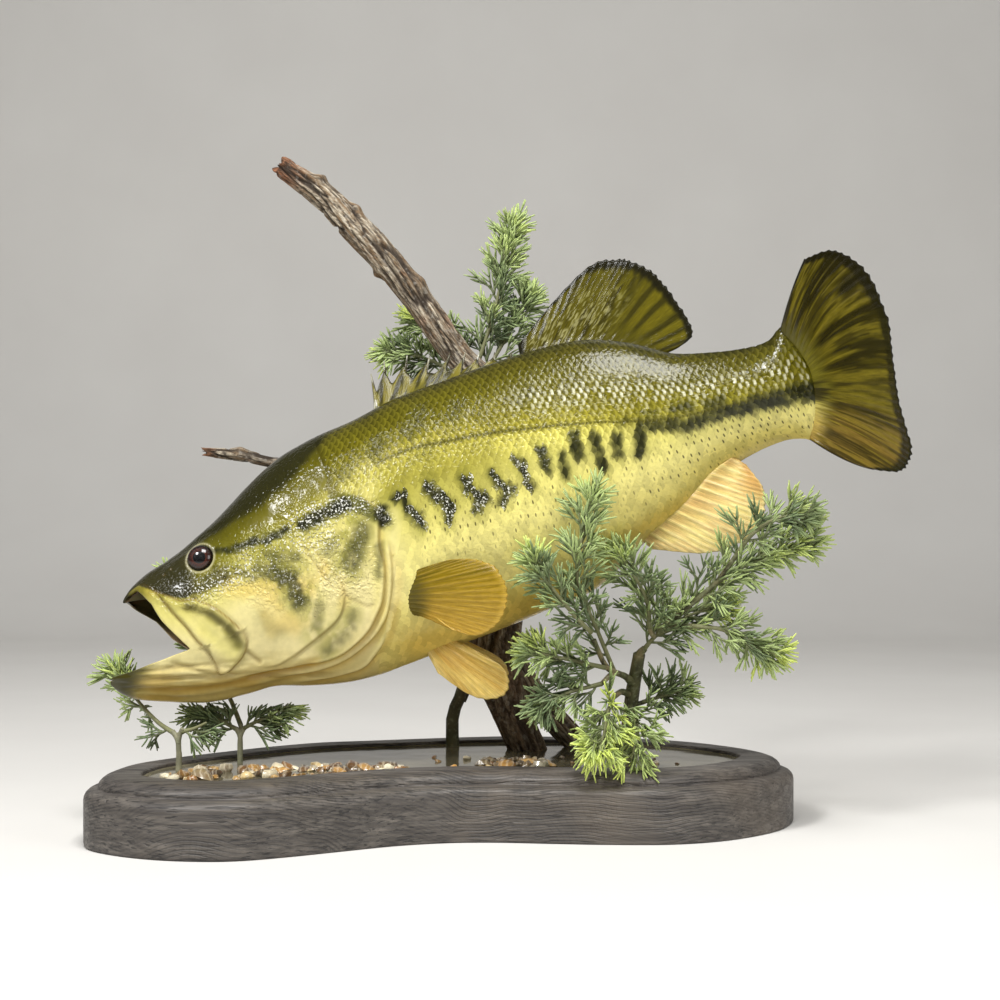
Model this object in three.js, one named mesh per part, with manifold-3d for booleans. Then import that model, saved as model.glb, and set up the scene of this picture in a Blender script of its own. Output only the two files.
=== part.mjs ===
// Mounted largemouth bass on a kidney-shaped wood base with driftwood and artificial plants.
// Millimetres, +Z up. The fish faces -X, its left flank faces -Y. Origin: centre of the base underside.
import * as THREE from 'three';
import Module from 'manifold-3d';

const wasm = await Module();
wasm.setup();

// ---- driving sizes ----
const GAP = 0.35;              // clearance between touching pieces
const BASE_H = 42;             // board thickness
const MOULD_W = 17.3;          // width of the moulded edge
const RIM_W = 34.5;            // outer edge to the lip of the recess
const WATER_Z = 39.5;          // top of the clear resin
const WATER_DEPTH = 3.5;
const EYE_R = 9.2;             // glass eye radius
const FIN_T = 1.3;             // fin plate thickness at the root
const RINGS = 26;              // rings along the fish
const GIRTH = 8;               // points up each flank

// ---- colours ----
const COL = {
  back: 0x4e5117, flank: 0xb9b04a, cheek: 0xc9bf72, jaw: 0xd2c583, lip: 0x8f8b4f,
  fin: 0x4c4a14, tail: 0x5f5b17, pale: 0xe3c27c, pectoral: 0xb98f2c, eye: 0x2a0d07,
  board: 0x2c2b2c, water: 0x6f6d68, gravel: 0xb68a55, bark: 0x4a3c32, leaf: 0x6f9148,
  tip: 0xa3bf56, stem: 0x6c6a45,
};

// ---- small helpers ----
const V = (x, y, z) => new THREE.Vector3(x, y, z);

function random(seed) {
  let s = seed;
  return () => {
    s = (s * 1664525 + 1013904223) % 4294967296;
    return s / 4294967296;
  };
}

// smooth value through table rows at parameter s = 0 .. rows-1
function blend(rows, s) {
  const n = rows.length - 1;
  const i = Math.min(Math.max(Math.floor(s), 0), n - 1);
  const u = s - i;
  const p = [rows[Math.max(i - 1, 0)], rows[i], rows[i + 1], rows[Math.min(i + 2, n)]];
  return rows[i].map((_, k) => {
    const [a, b, c, d] = p.map((r) => r[k]);
    return b + 0.5 * u * (c - a + u * (2 * a - 5 * b + 4 * c - d + u * (3 * (b - c) + d - a)));
  });
}

const along = (points, t) => V(...blend(points, t * (points.length - 1)));

// closed solid from points and triangles, turned outward
function solid(points, tris) {
  let volume = 0;
  for (const [a, b, c] of tris) {
    volume += points[a].dot(V().crossVectors(points[b], points[c]));
  }
  const order = volume < 0 ? ([a, b, c]) => [a, c, b] : (t) => t;
  return new wasm.Manifold(new wasm.Mesh({
    numProp: 3,
    vertProperties: new Float32Array(points.flatMap((p) => [p.x, p.y, p.z])),
    triVerts: new Uint32Array(tris.flatMap(order)),
  }));
}

// rings of equal count joined in order, ends closed on their centres
function loft(rings) {
  const n = rings[0].length;
  const points = rings.flat();
  const tris = [];
  for (let r = 0; r + 1 < rings.length; r += 1) {
    for (let k = 0; k < n; k += 1) {
      const a = r * n + k;
      const b = r * n + ((k + 1) % n);
      tris.push([a, b, b + n], [a, b + n, a + n]);
    }
  }
  [[rings[0], 0, 1], [rings.at(-1), (rings.length - 1) * n, -1]].forEach(([ring, base, way]) => {
    const centre = points.length;
    points.push(ring.reduce((s, p) => s.add(p), V(0, 0, 0)).divideScalar(n));
    for (let k = 0; k < n; k += 1) {
      const edge = [base + k, base + ((k + 1) % n)];
      tris.push(way > 0 ? [edge[1], edge[0], centre] : [edge[0], edge[1], centre]);
    }
  });
  return solid(points, tris);
}

// flat outline carried between two rings of the same count; corner(p, end) places outline point p
function extruded(outline, corner) {
  const flat = outline.map(([x, z]) => new THREE.Vector2(x, z));
  if (THREE.ShapeUtils.isClockWise(flat)) {
    flat.reverse();
  }
  const n = flat.length;
  const area = (a, b, c) => (flat[b].x - flat[a].x) * (flat[c].y - flat[a].y)
    - (flat[c].x - flat[a].x) * (flat[b].y - flat[a].y);
  const upright = ([a, b, c]) => (area(a, b, c) > 0 ? [a, b, c] : [a, c, b]);
  const caps = THREE.ShapeUtils.triangulateShape(flat, []).map(upright);
  const tris = caps.flatMap(([a, b, c]) => [[a, b, c], [n + a, n + c, n + b]]);
  for (let k = 0; k < n; k += 1) {
    const j = (k + 1) % n;
    tris.push([j, k, n + k], [j, n + k, n + j]);
  }
  return solid([...flat.map((p) => corner(p, 0)), ...flat.map((p) => corner(p, 1))], tris);
}

// straight prism of an X-Z outline along direction dir, from -reach to +reach about plane y
function prism(outline, y, dir, reach) {
  return extruded(outline, (p, end) => V(p.x, y, p.y).addScaledVector(dir, end ? reach : -reach));
}

// thin wall along an X-Z line, used to part neighbouring pieces
function slit(line, y, dir, reach) {
  const side = (way) => line.map(([x, z], i) => {
    const a = line[Math.max(i - 1, 0)];
    const b = line[Math.min(i + 1, line.length - 1)];
    const len = Math.hypot(b[0] - a[0], b[1] - a[1]);
    return [x - way * GAP * 0.5 * (b[1] - a[1]) / len, z + way * GAP * 0.5 * (b[0] - a[0]) / len];
  });
  return prism([...side(1), ...side(-1).reverse()], y, dir, reach);
}

// outline pushed outward by d, corners mitred
function grow(outline, d) {
  const n = outline.length;
  const turn = THREE.ShapeUtils.isClockWise(outline.map(([x, z]) => new THREE.Vector2(x, z)));
  const normal = (a, b) => {
    const len = Math.hypot(b[0] - a[0], b[1] - a[1]) * (turn ? -1 : 1);
    return [(b[1] - a[1]) / len, -(b[0] - a[0]) / len];
  };
  return outline.map((p, i) => {
    const u = normal(outline[(i + n - 1) % n], p);
    const v = normal(p, outline[(i + 1) % n]);
    const m = d / Math.max(1 + u[0] * v[0] + u[1] * v[1], 0.15);
    return [p[0] + m * (u[0] + v[0]), p[1] + m * (u[1] + v[1])];
  });
}

// round bar through points with one radius per point
function bar(points, radii, sides, ribs = 0, steps = 3) {
  const n = (points.length - 1) * steps;
  const rings = [];
  let up = V(0.13, 0.97, 0.2);
  for (let i = 0; i <= n; i += 1) {
    const t = i / n;
    const here = along(points, t);
    const ahead = along(points, Math.min(t + 0.01, 1)).sub(along(points, Math.max(t - 0.01, 0)));
    ahead.normalize();
    up = up.addScaledVector(ahead, -up.dot(ahead)).normalize();
    const right = V().crossVectors(ahead, up);
    const r = blend(radii.map((q) => [q]), t * (radii.length - 1))[0];
    rings.push(Array.from({ length: sides }, (_, k) => {
      const a = (2 * Math.PI * k) / sides;
      const q = r * (1 + ribs * Math.sin(3 * a + 5 * t) * Math.cos(2 * a - 9 * t));
      return here.clone().addScaledVector(up, q * Math.cos(a)).addScaledVector(right, q * Math.sin(a));
    }));
  }
  return loft(rings);
}

// thin fan: rows of points from root to tip, given thickness at the root and half of it at the tip
function plate(grid, thick) {
  const rows = grid.length;
  const cols = grid[0].length;
  const normal = (i, j) => {
    const a = grid[Math.max(i - 1, 0)][j];
    const b = grid[Math.min(i + 1, rows - 1)][j];
    const c = grid[i][Math.max(j - 1, 0)];
    const d = grid[i][Math.min(j + 1, cols - 1)];
    return V().crossVectors(b.clone().sub(a), d.clone().sub(c)).normalize();
  };
  const face = (way) => grid.flatMap((row, i) => row.map((p, j) => {
    const half = 0.5 * thick * (1 - 0.45 * (j / (cols - 1)));
    return p.clone().addScaledVector(normal(i, j), way * half);
  }));
  const n = rows * cols;
  const tris = [];
  for (let i = 0; i + 1 < rows; i += 1) {
    for (let j = 0; j + 1 < cols; j += 1) {
      const a = i * cols + j;
      const b = a + cols;
      tris.push([a, b, b + 1], [a, b + 1, a + 1], [n + a, n + b + 1, n + b], [n + a, n + a + 1, n + b + 1]);
    }
  }
  const rim = [];
  for (let j = 0; j < cols; j += 1) rim.push(j);
  for (let i = 1; i < rows; i += 1) rim.push(i * cols + cols - 1);
  for (let j = cols - 2; j >= 0; j -= 1) rim.push((rows - 1) * cols + j);
  for (let i = rows - 2; i > 0; i -= 1) rim.push(i * cols);
  rim.forEach((a, k) => {
    const b = rim[(k + 1) % rim.length];
    tris.push([a, b, n + b], [a, n + b, n + a]);
  });
  return solid([...face(1), ...face(-1)], tris);
}

// fin between a root line and a tip line; bow lifts the middle of each ray
function fin(root, tips, rays, across, bow = V(0, 0, 0), thick = FIN_T) {
  const grid = Array.from({ length: rays }, (_, i) => {
    const t = i / (rays - 1);
    const a = along(root, t);
    const b = along(tips, t);
    return Array.from({ length: across }, (_, j) => {
      const u = j / (across - 1);
      return a.clone().lerp(b, u).addScaledVector(bow, 4 * u * (1 - u) * Math.sin(Math.PI * t));
    });
  });
  return plate(grid, thick);
}

const biggest = (shape) => shape.simplify(0.1).decompose().sort((a, b) => b.volume() - a.volume())[0];

// ---- fish body ----
// stations from lips to tail root: top x, top z, bottom x, bottom z, half width, mid-plane y
const STATIONS = [
  [-206.5, 147, -214.5, 91, 6, -23],
  [-202.5, 153, -208.5, 86, 15.5, -22],
  [-193.5, 161.5, -197.5, 82, 23, -20],
  [-179, 171.5, -179, 80.5, 30, -17],
  [-161.5, 186, -156, 80, 34.5, -13.5],
  [-146.5, 200.5, -135, 83.5, 37.5, -11],
  [-131, 217.5, -113, 89.5, 41, -9],
  [-111, 236, -89.5, 90, 43.5, -7.5],
  [-87.5, 249.5, -65, 92, 45.5, -6],
  [-63.5, 260, -39.5, 98.5, 45.5, -6],
  [-36, 274.5, -7, 110.5, 45, -6],
  [-7, 285, 25, 123, 44, -6],
  [25, 296.5, 60.5, 137.5, 42, -6.5],
  [56, 306, 94, 152.5, 38, -9],
  [86, 311.5, 124, 181.5, 32.5, -13],
  [114, 309, 152.5, 203.5, 27, -18.5],
  [140.5, 302, 173.5, 226, 22.5, -25],
  [165, 302, 192, 238.5, 19, -32],
  [184.5, 304, 209.5, 246, 16, -39],
  [198, 308, 221, 247, 13.5, -44.5],
  [207.5, 317, 228, 246, 8.5, -48],
  [220.5, 303, 231.5, 259.5, 4, -52],
];
const LAST = STATIONS.length - 1;
// section character along the body: squareness, height of the widest point
const SHAPE = [
  [0.5, 1], [0.44, 0.98], [0.42, 0.95], [0.44, 0.92], [0.5, 0.86], [0.56, 0.82],
  [0.62, 0.82], [0.7, 0.88], [0.78, 0.95], [0.85, 1],
];

function section(s) {
  const [tx, tz, bx, bz, half, y] = blend(STATIONS, s);
  const e = 0.05;
  const a = blend(STATIONS, Math.max(s - e, 0));
  const b = blend(STATIONS, Math.min(s + e, LAST));
  const dir = V(b[0] + b[2] - a[0] - a[2], 2 * (b[5] - a[5]), 0).normalize();
  const [square, widest] = blend(SHAPE, (s / LAST) * (SHAPE.length - 1));
  return { top: V(tx, y, tz), bottom: V(bx, y, bz), half, side: V(dir.y, -dir.x, 0), square, widest };
}

// point on the flank: v from belly 0 to back 1, way 1 left or -1 right, pulled in by inset
function flank(s, v, way = 1, inset = 0) {
  const q = section(s);
  const spine = q.top.clone().sub(q.bottom);
  const high = spine.length();
  const w = (q.half - inset) * Math.sin(Math.PI * v ** q.widest) ** q.square;
  const up = inset / high + v * (1 - (2 * inset) / high);
  return q.bottom.clone().addScaledVector(spine, up).addScaledVector(q.side, way * Math.max(w, 0));
}

function ring(s, inset = 0, low = 0, high = 1) {
  const heights = Array.from({ length: GIRTH + 1 }, (_, j) => (1 - Math.cos((Math.PI * j) / GIRTH)) / 2);
  const left = heights.map((v) => flank(s, v, 1, inset));
  const right = heights.slice(1, -1).reverse().map((v) => flank(s, v, -1, inset));
  const bottom = left[0].clone();
  const top = left.at(-1).clone();
  const span = top.clone().sub(bottom);
  const squash = (p) => {
    const v = p.clone().sub(bottom).dot(span) / span.lengthSq();
    return p.addScaledVector(span, low + v * (high - low) - v);
  };
  return [...left, ...right].map(squash);
}

// whole body with its surface moved inward by inset
function bodyLoft(inset) {
  const ends = inset * 0.12;
  const step = (LAST - 2 * ends) / RINGS;
  return loft(Array.from({ length: RINGS + 1 }, (_, i) => ring(ends + step * i, inset)));
}

const HEAD_SIDE = V(0.16, -0.987, 0);      // square to the head, which is turned a little to the front
const GILL_SIDE = V(0.05, -0.999, 0);
const TAIL_SIDE = V(-0.34, -0.94, 0);
const MOUTH = [
  [-222, 157], [-209, 148.5], [-197, 141], [-188.5, 136], [-183.5, 129], [-177, 121.5],
  [-167.5, 114], [-179, 108.5], [-189.5, 105], [-203.5, 100], [-226, 94],
];
const MAXILLA = [
  [-191.5, 154.5], [-182, 149], [-172, 144.5], [-157.5, 141.5], [-146, 136.5], [-136, 131.5],
  [-130, 124.5], [-128, 118.5], [-129.5, 112], [-136, 105.5], [-144.5, 98.5], [-149.5, 105.5],
  [-157, 115.5], [-164, 126.5], [-173.5, 137], [-179.5, 144], [-186, 149.5],
];
const GILL = [
  [-94.5, 215], [-70, 214], [-50, 209], [-41, 200], [-42.5, 190.5], [-43.5, 171.5], [-47.5, 153],
  [-55, 135], [-68, 120], [-84, 108], [-97, 102.5], [-97, 111.5], [-79, 125], [-71, 137.5],
  [-68.5, 157.5], [-73, 171.5], [-83.5, 184], [-93.5, 196.5],
];
const NECK = [
  [-96, 272], [-85.5, 250], [-74.5, 228.5], [-60, 215.5], [-39, 202], [-40, 170.5], [-45, 148],
  [-53.5, 128.5], [-66.5, 111], [-76, 74],
];
const JAW_CUT = [[-168.5, 114.5], [-145, 95], [-135, 68]];
const TAIL_CUT = [[156, 318], [188, 222]];

// mouth hollow between palate and floor, open to the front
function mouthHollow() {
  const rings = [];
  for (let s = 0.7; s <= 6.2; s += 0.55) {
    const roof = 0.82 - 0.045 * s;
    rings.push(ring(s, 5 + 0.25 * s, 0.02, roof));
  }
  return loft(rings);
}

function eyeBall(way, extra = 0) {
  const at = flank(4.05, 0.868, way);
  const ahead = flank(4.2, 0.868, way).sub(flank(3.9, 0.868, way));
  const up = flank(4.05, 0.9, way).sub(flank(4.05, 0.83, way));
  const out = V().crossVectors(ahead, up).normalize().multiplyScalar(way);
  if (out.dot(section(4.05).side) * way < 0) out.negate();
  out.lerp(section(4.05).side.clone().multiplyScalar(way), 0.6).normalize();
  const turn = new THREE.Quaternion().setFromUnitVectors(V(0, 0, 1), out);
  const rings = [];
  for (let i = 1; i < 6; i += 1) {
    const a = (Math.PI * i) / 6;
    rings.push(Array.from({ length: 12 }, (_, k) => {
      const b = (2 * Math.PI * k) / 12;
      const r = (EYE_R + extra) * Math.sin(a);
      const p = V(r * Math.cos(b), r * Math.sin(b), -(5.6 + extra) * Math.cos(a));
      return p.applyQuaternion(turn).add(at).addScaledVector(out, -2.4);
    }));
  }
  return loft(rings);
}

// shell pieces cut from the flank inside an outline, one per side
function coverPlate(outline, dir, way, out, deep, extra = 0) {
  const column = prism(grow(outline, extra), -10, dir, 75);
  const shell = bodyLoft(-out).subtract(bodyLoft(deep));
  const keep = prism([[-230, 40], [40, 40], [40, 300], [-230, 300]], -14 - way * 50, V(0, 1, 0), 48);
  return biggest(column.intersect(shell).intersect(keep));
}

function fishPieces() {
  const far = V(0, 1, 0);
  let whole = bodyLoft(0);
  whole = whole.subtract(prism(MOUTH, -18, HEAD_SIDE, 70)).subtract(mouthHollow());
  whole = whole.subtract(eyeBall(1, GAP)).subtract(eyeBall(-1, GAP));
  const parts = {};
  for (const [side, way] of [['left', 1], ['right', -1]]) {
    parts[`maxilla_${side}`] = coverPlate(MAXILLA, HEAD_SIDE, way, 1.2, 2.6);
    parts[`gill_cover_${side}`] = coverPlate(GILL, GILL_SIDE, way, 0.9, 3.4);
    whole = whole.subtract(coverPlate(MAXILLA, HEAD_SIDE, way, 3, 2.6 + GAP, GAP));
    whole = whole.subtract(coverPlate(GILL, GILL_SIDE, way, 3, 3.4 + GAP, GAP));
  }
  whole = whole.subtract(slit(NECK, -6, far, 90));
  whole = whole.subtract(slit(JAW_CUT, -15, HEAD_SIDE, 90));
  whole = whole.subtract(slit(TAIL_CUT, -30, TAIL_SIDE, 90));
  const chunks = whole.simplify(0.2).decompose().filter((c) => c.volume() > 800);
  const middle = (c) => (c.boundingBox().min[0] + c.boundingBox().max[0]) / 2;
  const bySize = (a, b) => b.volume() - a.volume();
  const [lowJaw] = chunks.filter((c) => c.boundingBox().max[2] < 125).sort(bySize);
  const rest = chunks.filter((c) => c !== lowJaw).sort(bySize).slice(0, 3);
  rest.sort((a, b) => middle(a) - middle(b));
  [parts.head, parts.trunk, parts.tail] = rest;
  parts.lower_jaw = lowJaw;
  parts.eye_left = eyeBall(1);
  parts.eye_right = eyeBall(-1);
  return parts;
}

// ---- fins ----
const CAUDAL_ROOT = [
  [205, -48, 314], [215, -52, 302], [222, -54, 290], [225, -53, 277.5], [225, -51, 263.5],
  [223.5, -47, 246.5],
];
const CAUDAL_MID = [
  [209.5, -63, 336], [223, -82, 330], [240, -95, 304.5], [248, -86, 273], [250, -75.5, 250.5],
  [240, -62, 234.5],
];
const CAUDAL_TIP = [
  [214, -88, 354], [226.5, -118, 355], [241, -140, 339], [253.5, -143, 310], [259, -128, 286.5],
  [264, -120, 263], [271.5, -121, 237], [268.5, -105, 225.5], [255, -78, 227],
];
const SOFT_ROOT = [[45, -6.5, 298], [67, -8, 303], [89, -10.5, 305], [110, -14, 303], [125, -17.5, 297]];
const SOFT_TIP = [
  [43, -5, 309], [65.5, -6, 336.5], [89.5, -8.5, 360.5], [106, -11, 364.5], [116.5, -13, 363],
  [130.5, -16, 354.5], [140.5, -18, 342], [150.5, -20.5, 326.5], [154, -22, 313], [141, -18, 304.5],
];
const SPINY_ROOT = [[-48, -6, 262], [-36, -6, 267], [-13.5, -6, 275.5], [9, -6, 282.5], [34, -6, 291]];
const SPINE_TIPS = [
  [-52.5, 7, 291], [-44, 8, 299.5], [-29, 9, 303], [-14, 9, 303.5], [-1, 9, 304.5],
  [9, 9, 305], [18, 9, 305], [28, 8.5, 305], [39, 7.5, 305],
];
const ANAL_ROOT = [
  [121, -16, 184], [132, -18, 192], [144, -21.5, 203], [156, -25.5, 215], [165, -28.5, 225], [179, -33, 236],
];
const ANAL_TIP = [
  [128, -19, 177.5], [159, -27.5, 175], [179, -34, 179.5], [195, -40, 191], [198, -41.5, 206],
  [195.5, -40.5, 218], [186, -36.5, 231],
];
const PELVIC_ROOT = [[-16, -19, 114], [-8, -19, 117], [1, -19, 121]];
const PELVIC_TIP = [
  [-8, -22.5, 99], [10, -28, 87], [24, -32, 83], [35, -35, 86.5], [38, -35.5, 96], [31, -33, 106],
  [13, -27, 113.5],
];
const PECTORAL_ROOT = [[-29, -42, 160.5], [-26, -42.5, 149], [-17, -42, 138.5]];
const PECTORAL_TIP = [
  [-14, -54, 168], [2, -62, 172.8], [18, -70, 173], [29, -77, 169], [36, -80.5, 158], [36.5, -80.5, 146],
  [30, -77, 133], [18, -71, 126.5], [5, -64, 129], [-7, -57, 136],
];

function caudalFin() {
  const grid = Array.from({ length: 15 }, (_, i) => {
    const t = i / 14;
    const ray = [CAUDAL_ROOT, CAUDAL_MID, CAUDAL_TIP].map((l) => along(l, t));
    const curve = new THREE.QuadraticBezierCurve3(
      ray[0],
      ray[1].clone().multiplyScalar(2).addScaledVector(ray[0], -0.5).addScaledVector(ray[2], -0.5),
      ray[2],
    );
    return Array.from({ length: 5 }, (_, j) => curve.getPoint(j / 4));
  });
  return plate(grid, FIN_T);
}

// low, laid-back spines with sunken webs between them
function spinyDorsal() {
  const count = SPINE_TIPS.length;
  const grid = Array.from({ length: 2 * count - 1 }, (_, i) => {
    const t = i / (2 * count - 2);
    const a = along(SPINY_ROOT, t);
    let b = along(SPINE_TIPS, t);
    if (i % 2 === 1) b = a.clone().lerp(b, 0.78);
    return Array.from({ length: 3 }, (_, j) => a.clone().lerp(b, j / 2));
  });
  return plate(grid, 1.8);
}

// same fin on the other flank, mirrored about the mid-plane y = -6 and laid closer to the body
function mirrored(points, keep) {
  return points.map(([x, y, z]) => [x, -6 + (-6 - y) * keep, z]);
}

function finPieces() {
  const skin = bodyLoft(-GAP);
  const trim = (shape) => biggest(shape.subtract(skin));
  const rest = mirrored(PECTORAL_ROOT, 1);
  const tips = PECTORAL_TIP.map(([x, y, z]) => [-22 + (x + 22) * 0.52, 34 + (-48 - y) * 0.3, z - 4]);
  return {
    caudal_fin: trim(caudalFin()),
    dorsal_fin_soft: trim(fin(SOFT_ROOT, SOFT_TIP, 14, 3)),
    dorsal_fin_spiny: trim(spinyDorsal()),
    anal_fin: trim(fin(ANAL_ROOT, ANAL_TIP, 11, 4, V(0, -3, 0))),
    pelvic_fin_left: trim(fin(PELVIC_ROOT, PELVIC_TIP, 8, 4, V(0, -2, 0))),
    pelvic_fin_right: trim(fin(mirrored(PELVIC_ROOT, 1), mirrored(PELVIC_TIP, 0.8), 8, 4)),
    pectoral_fin_left: trim(fin(PECTORAL_ROOT, PECTORAL_TIP, 11, 4, V(0, -4, 0))),
    pectoral_fin_right: trim(fin(rest, tips, 11, 4, V(0, 2, 0))),
  };
}

// ---- base ----
const PLAN = [
  [-221.6, -70], [-214, -91], [-195, -108], [-171, -120], [-145, -125.5], [-120, -124], [-92, -112],
  [-60, -94], [-30, -78], [0, -69], [30, -67.5], [65, -71.5], [100, -74.5], [135, -74], [165, -64.5],
  [190, -47], [209, -26], [220, -2], [223, 18], [216, 42], [199, 68], [173, 93], [140, 111], [100, 121],
  [60, 125.5], [25, 125.5], [-20, 115.5], [-60, 104], [-98, 93], [-130, 73], [-160, 47], [-190, 17],
  [-212, -13], [-221, -44],
];
const EDGE = [
  [0, 0], [0, 28], [2.6, 33], [8, 35.2], [8.6, 37.6], [12, 40.4], [MOULD_W, BASE_H], [RIM_W, BASE_H],
];

// board plan moved inward by inset, z given
function planRing(inset, z) {
  const n = PLAN.length;
  return PLAN.map((p, i) => {
    const a = PLAN[(i + n - 1) % n];
    const b = PLAN[(i + 1) % n];
    const len = Math.hypot(b[0] - a[0], b[1] - a[1]);
    return V(p[0] - (inset * (b[1] - a[1])) / len, p[1] + (inset * (b[0] - a[0])) / len, z);
  });
}

function basePieces() {
  const floor = WATER_Z - WATER_DEPTH;
  const board = loft([...EDGE.map(([i, z]) => planRing(i, z)), planRing(RIM_W + 0.6, floor - GAP)]);
  const water = loft([planRing(RIM_W + 1.1, floor), planRing(RIM_W + 0.8, WATER_Z)]);
  return { base_board: board, base_water: water };
}

// octahedral pebble standing at x, y with its six shared corners
function pebble(x, y, z, size, turn) {
  const corners = [[1.25, 0, 0], [-1.25, 0, 0], [0, 1, 0], [0, -1, 0], [0, 0, 0.62], [0, 0, -0.62]];
  const points = corners.map((c) => V(...c).multiplyScalar(size).applyAxisAngle(V(0, 0, 1), turn));
  points.forEach((p) => p.add(V(x, y, z)));
  const faces = [];
  for (const [top, flip] of [[4, false], [5, true]]) {
    for (const [i, j] of [[0, 2], [2, 1], [1, 3], [3, 0]]) {
      faces.push(flip ? [j, i, top] : [i, j, top]);
    }
  }
  return solid(points, faces);
}

// pebbles sunk in a thin bed of grit on the resin
function gravelBed(outline, count, seed, size) {
  const rand = random(seed);
  const z = WATER_Z + GAP;
  let bed = extruded(outline, (p, end) => V(p.x, p.y, z + end));
  const inside = (x, y) => outline.reduce((hit, p, i) => {
    const q = outline[(i + outline.length - 1) % outline.length];
    const cross = (p[1] > y) !== (q[1] > y) && x < ((q[0] - p[0]) * (y - p[1])) / (q[1] - p[1]) + p[0];
    return cross ? !hit : hit;
  }, false);
  const xs = outline.map((p) => p[0]);
  const ys = outline.map((p) => p[1]);
  const stones = [];
  for (let tries = 0; stones.length < count && tries < 4000; tries += 1) {
    const x = Math.min(...xs) + rand() * (Math.max(...xs) - Math.min(...xs));
    const y = Math.min(...ys) + rand() * (Math.max(...ys) - Math.min(...ys));
    if (inside(x, y) && stones.every(([a, b]) => Math.hypot(a - x, b - y) > 1.5 * size)) {
      bed = bed.add(pebble(x, y, z + 1.1, size * (0.75 + 0.5 * rand()), rand() * 3));
      stones.push([x, y]);
    }
  }
  return biggest(bed.trimByPlane([0, 0, 1], z));
}

// ---- driftwood ----
// lower end cut level on the resin
const footed = (shape) => shape.trimByPlane([0, 0, 1], WATER_Z + GAP);

const TRUNK = [
  [53, 62, 33], [42, 60, 58], [35, 58, 76.5], [29, 56, 100.5], [31.5, 55, 134.5], [39.5, 56, 175],
  [47, 58, 216],
];
const TRUNK_R = [11.5, 12, 14, 16.5, 16, 14.5, 13];
const LIMB = [
  [46.5, 58, 208], [41.5, 60, 252], [24.5, 61, 283.5], [3, 62, 307.5], [-20.5, 63, 340], [-45, 64, 371.5],
  [-67.5, 66, 395], [-89.5, 68, 417], [-118.5, 70, 438],
];
const LIMB_R = [12.8, 11.6, 9.5, 8, 8.6, 8.6, 7.6, 6.8, 5.8];
const ROOT = [[36, 60, 104], [52, 67, 78], [69, 72, 58], [92, 74, 34]];
const ROOT_R = [10, 9, 8.5, 8];
const TWIG = [
  [38, 55, 188], [-9, 50, 209], [-69.5, 47, 226], [-120, 45, 234.5], [-143, 44, 239], [-165, 43, 241],
];
const TWIG_R = [4.5, 4.2, 4, 3.8, 4.4, 2.8];

function woodPieces() {
  const thicker = (radii, by) => radii.map((r) => r + by);
  const trunk = bar(TRUNK, TRUNK_R, 10, 0.12, 2);
  const trunkRoom = bar(TRUNK, thicker(TRUNK_R, GAP), 10, 0.12, 2);
  const body = bodyLoft(-GAP);
  return {
    driftwood_trunk: biggest(footed(trunk.subtract(body))),
    driftwood_limb: biggest(bar(LIMB, LIMB_R, 8, 0.12, 2).subtract(trunkRoom).subtract(body)),
    driftwood_root: biggest(footed(bar(ROOT, ROOT_R, 8, 0.12, 2)).subtract(trunkRoom)),
    driftwood_twig: biggest(bar(TWIG, TWIG_R, 6, 0.1, 2).subtract(trunkRoom).subtract(body)),
  };
}

// ---- plants ----
const claimed = [];            // every twig and needle placed so far: [from, to, radius, owner]

function nearest(a, b, c, d) {
  const u = b.clone().sub(a);
  const v = d.clone().sub(c);
  const w = a.clone().sub(c);
  const uu = u.dot(u);
  const uv = u.dot(v);
  const vv = v.dot(v);
  const den = uu * vv - uv * uv;
  const clamp = (x) => Math.min(Math.max(x, 0), 1);
  let s = den > 1e-6 ? clamp((uv * v.dot(w) - vv * u.dot(w)) / den) : 0;
  const t = clamp((uv * s + v.dot(w)) / vv);
  s = clamp((uv * t - u.dot(w)) / uu);
  return a.clone().addScaledVector(u, s).distanceTo(c.clone().addScaledVector(v, t));
}

function free(a, b, r, owner) {
  return claimed.every(([c, d, q, who]) => who === owner || nearest(a, b, c, d) > r + q + 0.5);
}

function claimBar(points, radius, owner) {
  for (let i = 0; i < 8; i += 1) {
    claimed.push([along(points, i / 8), along(points, (i + 1) / 8), radius, owner]);
  }
}

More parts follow.
